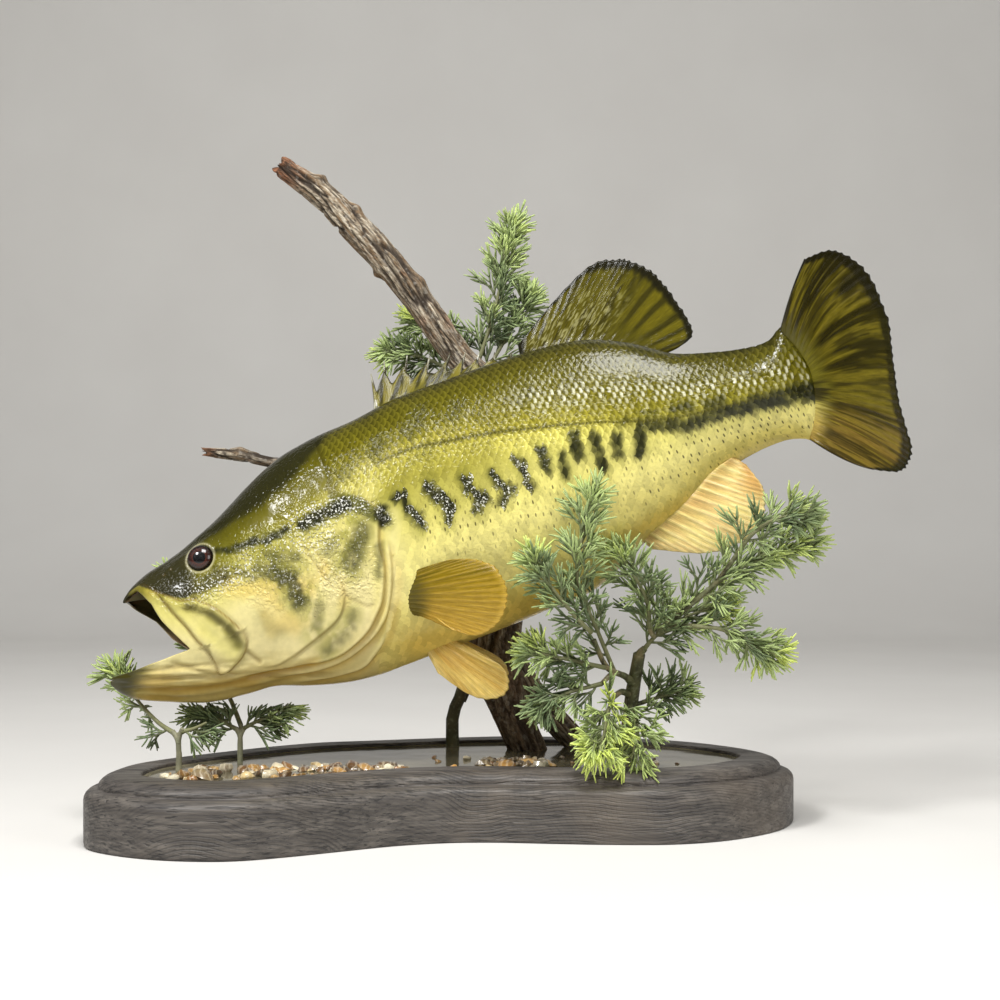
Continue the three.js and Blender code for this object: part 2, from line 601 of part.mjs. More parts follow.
// leafy twig: a slim three-sided bar with needles drawn out of its faces and swept forward
function sprig(name, points, r, count, reach, seed, room) {
  const rand = random(seed);
  claimBar(points, r, name);
  const corners = [];
  const at = (i, k) => 3 * i + ((k + 3) % 3);
  let up = V(0.1, 0.97, 0.2);
  const heads = Array.from({ length: count + 1 }, (_, i) => {
    const t = i / count;
    const here = along(points, t);
    const ahead = along(points, Math.min(t + 0.02, 1)).sub(along(points, Math.max(t - 0.02, 0))).normalize();
    up = up.addScaledVector(ahead, -up.dot(ahead)).normalize().applyAxisAngle(ahead, 0.5);
    const side = V().crossVectors(ahead, up);
    const q = r * (1 - 0.55 * t);
    for (let k = 0; k < 3; k += 1) {
      const a = (2 * Math.PI * k) / 3;
      corners.push(here.clone().addScaledVector(up, q * Math.cos(a)).addScaledVector(side, q * Math.sin(a)));
    }
    return ahead;
  });
  const tris = [[at(0, 0), at(0, 2), at(0, 1)], [at(count, 0), at(count, 1), at(count, 2)]];
  for (let i = 0; i < count; i += 1) {
    for (let k = 0; k < 3; k += 1) {
      const quad = [[at(i, k), at(i, k + 1), at(i + 1, k + 1)], [at(i, k), at(i + 1, k + 1), at(i + 1, k)]];
      quad.forEach((tri, half) => {
        const [a, b, c] = tri.map((n) => corners[n]);
        const from = a.clone().add(b).add(c).divideScalar(3);
        const out = V().crossVectors(b.clone().sub(a), c.clone().sub(a)).normalize();
        const far = reach * (0.7 + 0.5 * rand()) * (1 - 0.35 * (i / count));
        const to = from.clone().addScaledVector(heads[i], 0.7 * far).addScaledVector(out, 0.72 * far);
        const root = from.clone().lerp(to, 0.3);
        const wanted = half === i % 2 && (k !== i % 3) && to.z > WATER_Z + 3;
        const clear = wanted && free(from, to, 0.8, name)
          && claimed.every(([e, f, , who]) => who !== name || !f.needle || nearest(root, to, e, f) > 1.6);
        if (clear) {
          to.needle = true;
          claimed.push([root, to, 0.8, name]);
          corners.push(to);
          const tip = corners.length - 1;
          tris.push([tri[0], tri[1], tip], [tri[1], tri[2], tip], [tri[2], tri[0], tip]);
        } else {
          tris.push(tri);
        }
      });
    }
  }
  const twig = solid(corners, tris);
  return twig.intersect(room).isEmpty() ? twig : biggest(twig.subtract(room));
}

const STEMS = {
  plant_back_stem: [
    [[-1, 77, 36], [-1, 78, 60.5], [5.5, 80, 78], [12, 80, 112.5], [14, 84, 168], [14, 86, 229.5],
      [14, 84, 268], [15, 80, 300]],
    [4.6, 4.4, 4, 3.5, 3, 2.6, 2.2, 1.8],
  ],
  plant_front_stem: [[[112, 19, 35], [115, 12, 57.5], [117.5, 2, 85], [121, -8, 110]], [5.2, 5, 4.6, 4]],
  plant_low_stem_a: [[[-170.5, -34, 36], [-170, -35, 62]], [1.9, 1.6]],
  plant_low_stem_b: [[[-136, -3, 36], [-136, -4, 60]], [1.9, 1.6]],
};

const SPRIGS = [
  ['plant_back_top', [[15.5, 80, 301.5], [28, 79, 345], [35, 80, 380], [41, 80, 408]], 1.8, 12, 26],
  ['plant_back_right', [[19, 80, 293], [36, 82, 320], [52, 84, 343], [62, 84, 358]], 1.7, 10, 25],
  ['plant_back_left', [[10, 82, 288], [-14, 82, 306], [-35, 80, 312], [-56, 78, 314]], 1.7, 11, 23],
  ['plant_back_rise', [[12, 84, 298], [2, 90, 318], [-18, 92, 330], [-36, 92, 338]], 1.6, 7, 20],
  ['plant_front_rise', [[104, -26, 100], [92, -44, 128], [78, -58, 165], [82, -60, 195], [88, -58, 224]],
    1.8, 14, 25],
  ['plant_front_rise_b', [[88, -52, 127], [70, -62, 146], [54, -66, 166], [46, -68, 176]], 1.5, 8, 23],
  ['plant_front_left', [[97, -36, 104], [74, -46, 110], [52, -52, 114], [40, -54, 117]], 1.6, 8, 22],
  ['plant_front_low_left', [[95, -38, 94], [76, -46, 90], [60, -50, 84]], 1.5, 6, 20],
  ['plant_front_mid', [[124, -13, 114], [132, -20, 124], [146, -28, 134], [166, -32, 142]], 1.9, 10, 25],
  ['plant_front_far', [[149, -36, 142], [172, -44, 162], [200, -48, 176], [228, -50, 184]], 1.8, 12, 25],
  ['plant_front_out', [[152, -36, 130], [175, -42, 128], [192, -44, 118], [206, -44, 112]], 1.7, 9, 23],
  ['plant_front_up', [[126, -24, 128], [124, -34, 145], [116, -42, 160], [108, -44, 172]], 1.6, 7, 19],
  ['plant_front_tip', [[178, -54, 176], [188, -60, 190], [202, -62, 198], [214, -62, 200]], 1.5, 7, 19],
  ['plant_front_drop', [[104, -20, 84], [99, -42, 76], [95, -58, 62], [90, -68, 54]], 1.8, 11, 26],
  ['plant_front_drop_b', [[115, -3, 74], [118, -26, 66], [116, -46, 60], [112, -58, 50]], 1.7, 10, 24],
  ['plant_front_side', [[124, 2, 78], [134, -4, 82], [146, -8, 86]], 1.4, 5, 17],
  ['plant_low_a_left', [[-173, -35.5, 63], [-188, -22, 70], [-203, -6, 82], [-215, 0, 94]], 1.4, 9, 18],
  ['plant_low_a_mid', [[-168, -37.5, 64], [-166, -44, 72], [-176, -52, 80]], 1.3, 7, 16],
  ['plant_low_b_left', [[-138.5, -4.5, 61.5], [-148, -2, 66], [-160, 0, 70]], 1.3, 6, 15],
  ['plant_low_b_right', [[-133.5, -4.5, 62], [-122, -6, 68], [-108, -8, 74]], 1.3, 7, 16],
  ['plant_mouth_back', [[-136, -1, 63.5], [-150, 26, 84], [-170, 37, 112], [-184, 38, 146], [-188, 36, 166]],
    1.5, 11, 20],
];

function plantPieces() {
  const parts = {};
  const skin = bodyLoft(-GAP);
  for (const [name, [points, radii]] of Object.entries(STEMS)) {
    claimBar(points, Math.max(...radii), name);
    parts[name] = footed(bar(points, radii, 6, 0.05, 1));
  }
  SPRIGS.forEach(([name, points, r, count, reach], i) => {
    parts[name] = sprig(name, points, r, count, reach, 11 + 7 * i, skin);
  });
  return parts;
}

// ---- assembly ----
function meshOf(name, shape, colour, roughness, metalness = 0) {
  const { vertProperties, triVerts } = shape.getMesh();
  const geometry = new THREE.BufferGeometry();
  geometry.setAttribute('position', new THREE.BufferAttribute(new Float32Array(vertProperties), 3));
  geometry.setIndex(new THREE.BufferAttribute(new Uint32Array(triVerts), 1));
  geometry.computeVertexNormals();
  const finish = new THREE.MeshStandardMaterial({ color: colour, roughness, metalness });
  const mesh = new THREE.Mesh(geometry, finish);
  mesh.name = name;
  return mesh;
}

// name pattern, colour, roughness
const LOOK = [
  [/^head/, COL.cheek, 0.25], [/^lower_jaw/, COL.jaw, 0.25], [/^maxilla/, COL.lip, 0.25],
  [/^gill/, COL.cheek, 0.25], [/^trunk/, COL.flank, 0.25], [/^tail/, COL.back, 0.25],
  [/^eye/, COL.eye, 0.05], [/^caudal/, COL.tail, 0.3], [/^dorsal/, COL.fin, 0.3],
  [/^anal|^pelvic/, COL.pale, 0.3], [/^pectoral/, COL.pectoral, 0.3], [/^base_board/, COL.board, 0.6],
  [/^base_water/, COL.water, 0.06], [/^gravel/, COL.gravel, 0.4], [/^driftwood/, COL.bark, 0.85],
  [/^plant.*stem/, COL.stem, 0.7], [/^plant.*(tip|drop|low_a|rise)/, COL.tip, 0.6], [/^plant/, COL.leaf, 0.6],
];

const LEFT_BED = [
  [-174, -66], [-150, -78], [-118, -74], [-84, -58], [-44, -36], [-22, -28], [-24, -12], [-60, -18],
  [-92, -28], [-128, -36], [-158, -46],
];
const RIGHT_BED = [[20, -22], [44, -24], [64, -18], [60, 2], [34, 8], [18, -4]];

function build() {
  const model = new THREE.Group();
  model.name = 'mounted_largemouth_bass';
  const pieces = {
    ...fishPieces(), ...finPieces(), ...basePieces(),
    gravel_left: gravelBed(LEFT_BED, 20, 5, 5.9),
    gravel_right: gravelBed(RIGHT_BED, 6, 9, 4.2),
    ...woodPieces(), ...plantPieces(),
  };
  for (const [name, shape] of Object.entries(pieces)) {
    const [, colour, rough] = LOOK.find(([test]) => test.test(name));
    model.add(meshOf(name, shape, colour, rough));
  }
  return model;
}

export default build();
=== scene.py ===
# Mounted largemouth bass: painted skin with scale plates, rayed fins, glass eyes, driftwood,
# artificial greenery, gravel and a clear resin pool on a stained kidney-shaped board.
import bpy
import bmesh
import math
import numpy as np
from mathutils import Matrix, Vector


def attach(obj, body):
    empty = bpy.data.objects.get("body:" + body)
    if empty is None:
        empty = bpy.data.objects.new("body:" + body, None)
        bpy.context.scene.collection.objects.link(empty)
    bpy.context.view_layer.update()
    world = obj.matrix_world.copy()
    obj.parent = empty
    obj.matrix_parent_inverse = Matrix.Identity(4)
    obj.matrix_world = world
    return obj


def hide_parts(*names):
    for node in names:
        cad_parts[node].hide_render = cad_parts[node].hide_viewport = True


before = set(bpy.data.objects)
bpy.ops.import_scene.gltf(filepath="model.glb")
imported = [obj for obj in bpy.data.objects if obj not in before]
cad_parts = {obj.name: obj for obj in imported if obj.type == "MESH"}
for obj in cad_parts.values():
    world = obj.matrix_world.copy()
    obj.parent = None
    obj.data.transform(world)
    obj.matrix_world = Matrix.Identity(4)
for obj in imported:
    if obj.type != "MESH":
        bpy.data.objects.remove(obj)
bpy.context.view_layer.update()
mm = 0.001
print("frame loaded:", len(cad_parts), "nodes")


# numbers and curves
def blend(rows, s):
    # smooth value through table rows, s counts rows
    rows = np.asarray(rows, float)
    last = len(rows) - 1
    s = np.asarray(s, float)
    i = np.clip(np.floor(s), 0, last - 1).astype(int)
    u = (s - i)[..., None]
    a, b = rows[np.maximum(i - 1, 0)], rows[i]
    c, d = rows[i + 1], rows[np.minimum(i + 2, last)]
    return b + 0.5 * u * (c - a + u * (2 * a - 5 * b + 4 * c - d + u * (3 * (b - c) + d - a)))


def along(points, t):
    return blend(points, np.asarray(t, float) * (len(points) - 1))


def smooth(x, low, high):
    t = np.clip((np.asarray(x, float) - low) / (high - low), 0, 1)
    return t * t * (3 - 2 * t)


def ramp(t, rows):
    # rows are (position, values...), straight between them
    rows = np.array(rows, float)
    return np.stack([np.interp(t, rows[:, 0], rows[:, k]) for k in range(1, rows.shape[1])], -1)


def mixRows(a, b, weight):
    return a + (b - a) * np.asarray(weight)[..., None]


def unit(v):
    return v / np.maximum(np.linalg.norm(v, axis=-1, keepdims=True), 1e-9)


def valueNoise(p, seed=0):
    # soft random value 0..1 at points (n, 3), one cell per unit
    cell = np.floor(p).astype(np.int64)
    f = p - cell
    f = f * f * (3 - 2 * f)
    total = np.zeros(len(p))
    for corner in [(i, j, k) for i in (0, 1) for j in (0, 1) for k in (0, 1)]:
        c = cell + np.array(corner)
        h = (c[:, 0] * 374761393 + c[:, 1] * 668265263 + c[:, 2] * 1440662683 + seed * 974634777) & 0x7fffffff
        h = ((h ^ (h >> 13)) * 1274126177) & 0x7fffffff
        h = ((h ^ (h >> 16)) * 668265263) & 0x7fffffff
        side = np.where(np.array(corner) == 1, f, 1 - f)
        total += side.prod(axis=1) * (h / 0x7fffffff)
    return total


def layeredNoise(p, seed=0, layers=3):
    total = sum(valueNoise(p * 2 ** k, seed + k) * 0.5 ** k for k in range(layers))
    return total / sum(0.5 ** k for k in range(layers))


def toLinear(rgb):
    c = np.asarray(rgb, float) / 255
    return np.where(c <= 0.04045, c / 12.92, ((c + 0.055) / 1.055) ** 2.4)


def shade(r, g, b):
    return (*toLinear((r, g, b)), 1.0)


# mesh helpers
def gridMesh(columns, rows):
    # flat grid of faces; a and b run 0..1 over its vertices
    bm = bmesh.new()
    bmesh.ops.create_grid(bm, x_segments=columns, y_segments=rows, size=0.5)
    mesh = bpy.data.meshes.new("grid")
    bm.to_mesh(mesh)
    bm.free()
    flat = np.empty(len(mesh.vertices) * 3)
    mesh.vertices.foreach_get("co", flat)
    flat = flat.reshape(-1, 3)
    return mesh, flat[:, 0] + 0.5, flat[:, 1] + 0.5


def addLayers(mesh, layers):
    # colours are (n, 3), values (n,), and a pair of columns named like a map becomes UV
    corner = np.empty(len(mesh.loops), np.int32)
    mesh.loops.foreach_get("vertex_index", corner)
    for name, value in layers.items():
        value = np.asarray(value, np.float32)
        if value.ndim == 1:
            mesh.attributes.new(name, "FLOAT", "POINT").data.foreach_set("value", value)
        elif value.shape[1] == 3:
            rgba = np.ones((len(value), 4), np.float32)
            rgba[:, :3] = value
            mesh.attributes.new(name, "FLOAT_COLOR", "POINT").data.foreach_set("color", rgba.ravel())
        else:
            uv = mesh.uv_layers.new(name=name)
            uv.data.foreach_set("uv", value[corner].ravel())


def finishPiece(name, mesh, material, nodes=(), weld=0.0, turn=True):
    if weld or turn:
        bm = bmesh.new()
        bm.from_mesh(mesh)
        if weld:
            bmesh.ops.remove_doubles(bm, verts=bm.verts, dist=weld)
        if turn:
            bmesh.ops.recalc_face_normals(bm, faces=bm.faces)
        bm.to_mesh(mesh)
        bm.free()
    mesh.polygons.foreach_set("use_smooth", np.ones(len(mesh.polygons), bool))
    mesh.materials.clear()
    mesh.materials.append(material)
    mesh.name = name
    piece = bpy.data.objects.new(name, mesh)
    bpy.context.scene.collection.objects.link(piece)
    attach(piece, "root")
    if nodes:
        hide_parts(*nodes)
    return piece


def gridPiece(name, columns, rows, place, material, nodes=(), weld=1e-5):
    mesh, a, b = gridMesh(columns, rows)
    layers = place(a, b)
    mesh.vertices.foreach_set("co", (layers.pop("points") * mm).ravel())
    addLayers(mesh, layers)
    return finishPiece(name, mesh, material, nodes, weld)


def unitShape(bm):
    # corners and faces of one small bmesh shape, which is then copied many times
    bmesh.ops.recalc_face_normals(bm, faces=bm.faces)
    bm.verts.ensure_lookup_table()
    corners = np.array([v.co[:] for v in bm.verts])
    faces = [[v.index for v in f.verts] for f in bm.faces]
    bm.free()
    return corners, faces


def joinedPiece(name, copies, faces, layers, material, nodes=()):
    # copies is (n, k, 3) in mm: n copies of a shape with k corners
    n, k, _ = copies.shape
    mesh = bpy.data.meshes.new(name)
    table = [[c + i * k for c in face] for i in range(n) for face in faces]
    mesh.from_pydata((copies.reshape(-1, 3) * mm).tolist(), [], table)
    addLayers(mesh, {key: value.reshape(n * k, -1).squeeze() for key, value in layers.items()})
    mesh.set_sharp_from_angle(angle=0.9)
    return finishPiece(name, mesh, material, nodes, turn=False)


# node helpers
def addNode(tree, kind, inputs=None, **settings):
    made = tree.nodes.new("ShaderNode" + kind)
    for key, value in settings.items():
        setattr(made, key, value)
    for key, value in (inputs or {}).items():
        if isinstance(value, bpy.types.NodeSocket):
            tree.links.new(value, made.inputs[key])
        else:
            made.inputs[key].default_value = value
    return made


def mixColour(tree, weight, a, b, way="MIX"):
    made = addNode(tree, "Mix", data_type="RGBA", blend_type=way)
    for socket, value in ((made.inputs[0], weight), (made.inputs[6], a), (made.inputs[7], b)):
        if isinstance(value, bpy.types.NodeSocket):
            tree.links.new(value, socket)
        else:
            socket.default_value = value
    return made.outputs[2]


def reckon(tree, way, a, b=0.0, c=0.0):
    return addNode(tree, "Math", {0: a, 1: b, 2: c}, operation=way).outputs[0]


def spread(tree, value, low, high, toLow=0.0, toHigh=1.0):
    made = addNode(tree, "MapRange", {"Value": value}, interpolation_type="SMOOTHSTEP")
    for key, number in zip(("From Min", "From Max", "To Min", "To Max"), (low, high, toLow, toHigh)):
        made.inputs[key].default_value = number
    return made.outputs[0]


def colourRamp(tree, value, stops):
    made = addNode(tree, "ValToRGB", {"Fac": value})
    ramped = made.color_ramp
    while len(ramped.elements) < len(stops):
        ramped.elements.new(0.5)
    for element, (place, colour) in zip(ramped.elements, stops):
        element.position = place
        element.color = colour
    return made.outputs[0]


def newMaterial(name, **values):
    material = bpy.data.materials.new(name)
    material.use_nodes = True
    tree = material.node_tree
    shader = tree.nodes["Principled BSDF"]
    for key, value in values.items():
        shader.inputs[key].default_value = value
    return material, tree, shader


def newGroup(name, inputs, outputs):
    group = bpy.data.node_groups.new(name, "ShaderNodeTree")
    for key, (kind, value) in inputs.items():
        socket = group.interface.new_socket(name=key, in_out="INPUT", socket_type="NodeSocket" + kind)
        if value is not None:
            socket.default_value = value
    for key, kind in outputs.items():
        group.interface.new_socket(name=key, in_out="OUTPUT", socket_type="NodeSocket" + kind)
    return group, group.nodes.new("NodeGroupInput").outputs, group.nodes.new("NodeGroupOutput").inputs


def useGroup(tree, group, **inputs):
    made = tree.nodes.new("ShaderNodeGroup")
    made.node_tree = group
    for key, value in inputs.items():
        if isinstance(value, bpy.types.NodeSocket):
            tree.links.new(value, made.inputs[key])
        else:
            made.inputs[key].default_value = value
    return made.outputs


def objectPoint(tree):
    return addNode(tree, "TexCoord").outputs["Object"]


def attribute(tree, name, output="Fac"):
    return addNode(tree, "Attribute", attribute_name=name).outputs[output]


# shared effects
def makeVarnishGroup():
    # brushed-on gloss: colour gets fine mottling, normal gets pooled lumps and grain
    group, given, out = newGroup(
        "varnishedPaint",
        {"Colour": ("Color", (0.5, 0.5, 0.5, 1)), "Mottle": ("Float", 0.2), "MottleScale": ("Float", 400.0),
         "Lumps": ("Float", 0.3), "LumpScale": ("Float", 900.0)},
        {"Colour": "Color", "Normal": "Vector", "Pooled": "Float"},
    )
    point = objectPoint(group)
    patches = addNode(group, "TexNoise", {"Vector": point, "Scale": given["MottleScale"], "Detail": 3.0})
    lighter = reckon(group, "MULTIPLY_ADD", patches.outputs[0], given["Mottle"],
                     reckon(group, "MULTIPLY_ADD", given["Mottle"], -0.5, 1.0))
    tone = addNode(group, "CombineColor", {0: lighter, 1: lighter, 2: lighter}).outputs[0]
    lumps = addNode(group, "TexNoise", {"Vector": point, "Scale": given["LumpScale"], "Detail": 2.0})
    bump = addNode(group, "Bump", {"Height": lumps.outputs[0], "Strength": given["Lumps"], "Distance": 0.0006})
    group.links.new(mixColour(group, 1.0, given["Colour"], tone, "MULTIPLY"), out["Colour"])
    group.links.new(bump.outputs[0], out["Normal"])
    group.links.new(lumps.outputs[0], out["Pooled"])
    return group


def makeGrainGroup():
    # long fibres and pores: Vector is stretched along the grain before it arrives
    group, given, out = newGroup(
        "woodFibre",
        {"Vector": ("Vector", None), "Scale": ("Float", 1.0), "Warp": ("Float", 0.5)},
        {"Fibre": "Float", "Pores": "Float", "Rings": "Float"},
    )
    scaled = addNode(group, "VectorMath", {0: given["Vector"], "Scale": given["Scale"]}, operation="SCALE")
    drift = addNode(group, "TexNoise", {"Vector": scaled.outputs[0], "Scale": 0.35, "Detail": 2.0})
    shifted = addNode(group, "VectorMath", {0: drift.outputs["Color"], "Scale": given["Warp"]}, operation="SCALE")
    bent = addNode(group, "VectorMath", {0: scaled.outputs[0], 1: shifted.outputs[0]}, operation="ADD")
    fibre = addNode(group, "TexNoise", {"Vector": bent.outputs[0], "Scale": 2.2, "Detail": 6.0, "Roughness": 0.65})
    pores = addNode(group, "TexNoise", {"Vector": bent.outputs[0], "Scale": 6.0, "Detail": 2.0})
    rings = addNode(group, "TexWave", {"Vector": bent.outputs[0], "Scale": 0.55, "Distortion": 5.0,
                                       "Detail": 2.0, "Detail Scale": 0.8}, bands_direction="Z")
    group.links.new(fibre.outputs[0], out["Fibre"])
    group.links.new(spread(group, pores.outputs[0], 0.56, 0.66), out["Pores"])
    group.links.new(rings.outputs["Fac"], out["Rings"])
    return group


varnishedPaint = makeVarnishGroup()
woodFibre = makeGrainGroup()


# fish body shape
# rows: back x z, belly x z, half width, mid-plane y, in mm from snout to tail root
stations = [
    [-206.5, 147, -214.5, 91, 6, -23], [-202.5, 153, -208.5, 86, 15.5, -22],
    [-193.5, 161.5, -197.5, 82, 23, -20], [-179, 171.5, -179, 80.5, 30, -17],
    [-161.5, 186, -156, 80, 34.5, -13.5], [-146.5, 200.5, -135, 83.5, 37.5, -11],
    [-131, 217.5, -113, 89.5, 41, -9], [-111, 236, -89.5, 90, 43.5, -7.5],
    [-87.5, 249.5, -65, 92, 45.5, -6], [-63.5, 260, -39.5, 98.5, 45.5, -6],
    [-36, 274.5, -7, 110.5, 45, -6], [-7, 285, 25, 123, 44, -6],
    [25, 296.5, 60.5, 137.5, 42, -6.5], [56, 306, 94, 152.5, 38, -9],
    [86, 311.5, 124, 181.5, 32.5, -13], [114, 309, 152.5, 203.5, 27, -18.5],
    [140.5, 302, 173.5, 226, 22.5, -25], [165, 302, 192, 238.5, 19, -32],
    [184.5, 304, 209.5, 246, 16, -39], [198, 308, 221, 247, 13.5, -44.5],
    [207.5, 317, 228, 246, 8.5, -48], [220.5, 303, 231.5, 259.5, 4, -52],
]
tailEnd = len(stations) - 1
# squareness of the section and height of its widest point, snout to tail
sectionShape = [
    [0.5, 1], [0.44, 0.98], [0.42, 0.95], [0.44, 0.92], [0.5, 0.86], [0.56, 0.82],
    [0.62, 0.82], [0.7, 0.88], [0.78, 0.95], [0.85, 1],
]


def sectionFrame(s):
    q = blend(stations, s)
    ahead, behind = blend(stations, np.minimum(s + 0.05, tailEnd)), blend(stations, np.maximum(s - 0.05, 0))
    run = ahead - behind
    heading = unit(np.stack([run[..., 0] + run[..., 2], 2 * run[..., 5]], -1))
    side = np.stack([heading[..., 1], -heading[..., 0], 0 * q[..., 0]], -1)
    return q, side


def flank(s, v, way=1.0, inset=0.0):
    # point on the body: v from belly 0 to back 1, way 1 left or -1 right
    s, v = np.broadcast_arrays(np.asarray(s, float), np.asarray(v, float))
    q, side = sectionFrame(s)
    shape = blend(sectionShape, s / tailEnd * (len(sectionShape) - 1))
    back = np.stack([q[..., 0], q[..., 5], q[..., 1]], -1)
    belly = np.stack([q[..., 2], q[..., 5], q[..., 3]], -1)
    high = np.linalg.norm(back - belly, axis=-1)
    v = np.clip(v, 0, 1)
    wide = (q[..., 4] - inset) * np.abs(np.sin(np.pi * v ** shape[..., 1])) ** shape[..., 0]
    up = inset / high + v * (1 - 2 * inset / high)
    return belly + (back - belly) * up[..., None] + side * (np.maximum(wide, 0) * way)[..., None]


def flankNormal(s, v, way=1.0):
    s, v = np.broadcast_arrays(np.asarray(s, float), np.asarray(v, float))
    inner = np.clip(v, 0.004, 0.996)
    alongBody = flank(np.minimum(s + 0.04, tailEnd), inner, way) - flank(np.maximum(s - 0.04, 0), inner, way)
    upBody = flank(s, np.minimum(inner + 0.003, 1), way) - flank(s, np.maximum(inner - 0.003, 0), way)
    out = unit(np.cross(alongBody, upBody)) * np.asarray(way)[..., None] if np.ndim(way) else \
        unit(np.cross(alongBody, upBody)) * way
    q, side = sectionFrame(s)
    flip = np.sign((out * side).sum(-1) * way)
    out = out * np.where(flip == 0, 1, flip)[..., None]
    spine = unit(np.stack([q[..., 0] - q[..., 2], 0 * q[..., 0], q[..., 1] - q[..., 3]], -1))
    ridge = smooth(v, 0.985, 1.0) - smooth(-v, -0.015, 0.0)
    return unit(out * (1 - np.abs(ridge))[..., None] + spine * ridge[..., None])


# drawn lines on the side of the fish, in mm, seen square to the left flank
headLines = {
    "maxilla": [(-184.5, 152), (-178, 149.5), (-174, 148.5), (-167.5, 146), (-159.5, 147), (-155, 145.5),
                (-147, 142.5), (-139, 137), (-131, 129.5), (-126, 121.5), (-128.5, 112.5), (-136, 104),
                (-143, 99), (-145, 105.5), (-150.5, 115.5), (-156.5, 122), (-163.5, 131), (-171, 138.5),
                (-178, 146), (-184.5, 152)],
    "lipTop": [(-203, 152), (-196, 155.5), (-189, 154.5), (-181, 150.5), (-174, 148.5), (-167.5, 146),
               (-159.5, 147)],
    "lipCrease": [(-184.5, 151.5), (-178, 146), (-171, 138.5), (-163.5, 131), (-156.5, 122), (-150.5, 115.5),
                  (-145, 105.5), (-141, 99)],
    "corner": [(-175, 108.5), (-163, 104.5), (-150.5, 100.5), (-141, 98.5), (-133, 100)],
    "cheekFold": [(-127, 115), (-122.5, 111.5), (-117, 107)],
    "jawA": [(-203, 96), (-187.5, 96.5), (-172, 97.5), (-160, 98.5), (-150, 97), (-138, 97)],
    "jawB": [(-208, 90), (-188, 89.5), (-169, 90), (-147, 91.5), (-126, 96), (-109, 101.5), (-93, 105.5),
             (-78, 112)],
    "jawC": [(-198.5, 85.5), (-179.5, 84.5), (-157.5, 84.5), (-132.5, 88), (-107, 94), (-81.5, 102)],
    "preopercle": [(-91.5, 190), (-82.5, 176.5), (-74.5, 166.5), (-66.5, 157), (-65, 147), (-67.5, 138),
                   (-75, 129.5), (-93, 115.5), (-99, 111.5), (-108.5, 106.5), (-122, 104)],
    "preopercleB": [(-95, 188), (-86, 174), (-78.5, 164), (-71, 153.5)],
    "subopercle": [(-64.5, 153), (-62, 148.5), (-50.5, 143.5), (-46, 145.5)],
    "gillEdge": [(-72, 214.5), (-62, 213.5), (-52.5, 209), (-45.5, 204.5), (-42, 199), (-43.5, 190.5),
                 (-43, 179.5), (-40, 168), (-41, 149), (-45, 138), (-53, 125), (-70.5, 111.5), (-94.5, 105.5),
                 (-119, 99.5), (-140.5, 95.5)],
    "foldB": [(-38.5, 186), (-35.5, 168), (-36.5, 145.5), (-41.5, 132), (-51, 120), (-68.5, 107.5),
              (-96, 99), (-118, 96)],
    "foldC": [(-33, 176), (-32.5, 153), (-35.5, 135.5), (-38.5, 124), (-47.5, 111), (-55.5, 103),
              (-71.5, 98), (-101.5, 92.5)],
}
toneRows = [  # height of the lateral line and, on the head, of the olive mask's lower edge
    (0, 0.99), (1.6, 0.955), (2.66, 0.8), (3.02, 0.746), (3.5, 0.685), (4, 0.70), (4.5, 0.715), (5.3, 0.73),
    (6, 0.71), (7.3, 0.71), (8.4, 0.76), (9.28, 0.789), (10.28, 0.783), (11.44, 0.746), (13.06, 0.668), (14.26, 0.563),
    (15.64, 0.489), (16.56, 0.465), (18.36, 0.445), (21, 0.40),
]
crownRows = [(0, 0.985), (3, 0.975), (4, 0.965), (4.5, 0.95), (5.5, 0.9), (6.5, 0.86), (7, 0.87), (7.8, 0.925),
             (8.6, 1.02), (21, 1.05)]


def nearLine(line, x, z):
    # signed distance to a drawn line, plus on its left hand, and the place along it 0..1
    pts = along(line, np.linspace(0, 1, 5 * len(line)))
    best, signed, place = np.full(x.shape, 1e9), np.zeros(x.shape), np.zeros(x.shape)
    for i, (p, q) in enumerate(zip(pts[:-1], pts[1:])):
        dx, dz = q - p
        t = np.clip(((x - p[0]) * dx + (z - p[1]) * dz) / (dx * dx + dz * dz + 1e-9), 0, 1)
        gap = np.hypot(x - p[0] - t * dx, z - p[1] - t * dz)
        hit = gap < best
        turn = dx * (z - p[1]) - dz * (x - p[0])
        best = np.where(hit, gap, best)
        signed = np.where(hit, gap * np.sign(turn), signed)
        place = np.where(hit, (i + t) / (len(pts) - 1), place)
    return signed, place


def insideLine(line, x, z):
    # distance to a closed outline, plus inside
    gap, _ = nearLine(line, x, z)
    pts = along(line, np.linspace(0, 1, 5 * len(line)))
    hits = np.zeros(x.shape, bool)
    for p, q in zip(pts[:-1], pts[1:]):
        cross = (p[1] > z) != (q[1] > z)
        hits ^= cross & (x < (q[0] - p[0]) * (z - p[1]) / (q[1] - p[1] + 1e-12) + p[0])
    return np.where(hits, np.abs(gap), -np.abs(gap))


def capsule(x, z, x1, z1, x2, z2, r, soft):
    dx, dz = x2 - x1, z2 - z1
    t = np.clip(((x - x1) * dx + (z - z1) * dz) / (dx * dx + dz * dz + 1e-9), 0, 1)
    return smooth(-np.hypot(x - x1 - t * dx, z - z1 - t * dz), -r - soft, -r + soft)


eyeSpot = {"s": 4.05, "v": 0.868, "ring": 9.4, "hole": 8.4, "glass": 8.5, "depth": 5.6, "sunk": 2.4}


def eyeFrame(way):
    s, v = eyeSpot["s"], eyeSpot["v"]
    at = flank(s, v, way)
    out = flankNormal(np.array([s]), np.array([v]), way)[0]
    side = sectionFrame(np.array([s]))[1][0] * way
    out = unit(out * 0.4 + side * 0.6)
    return at, out


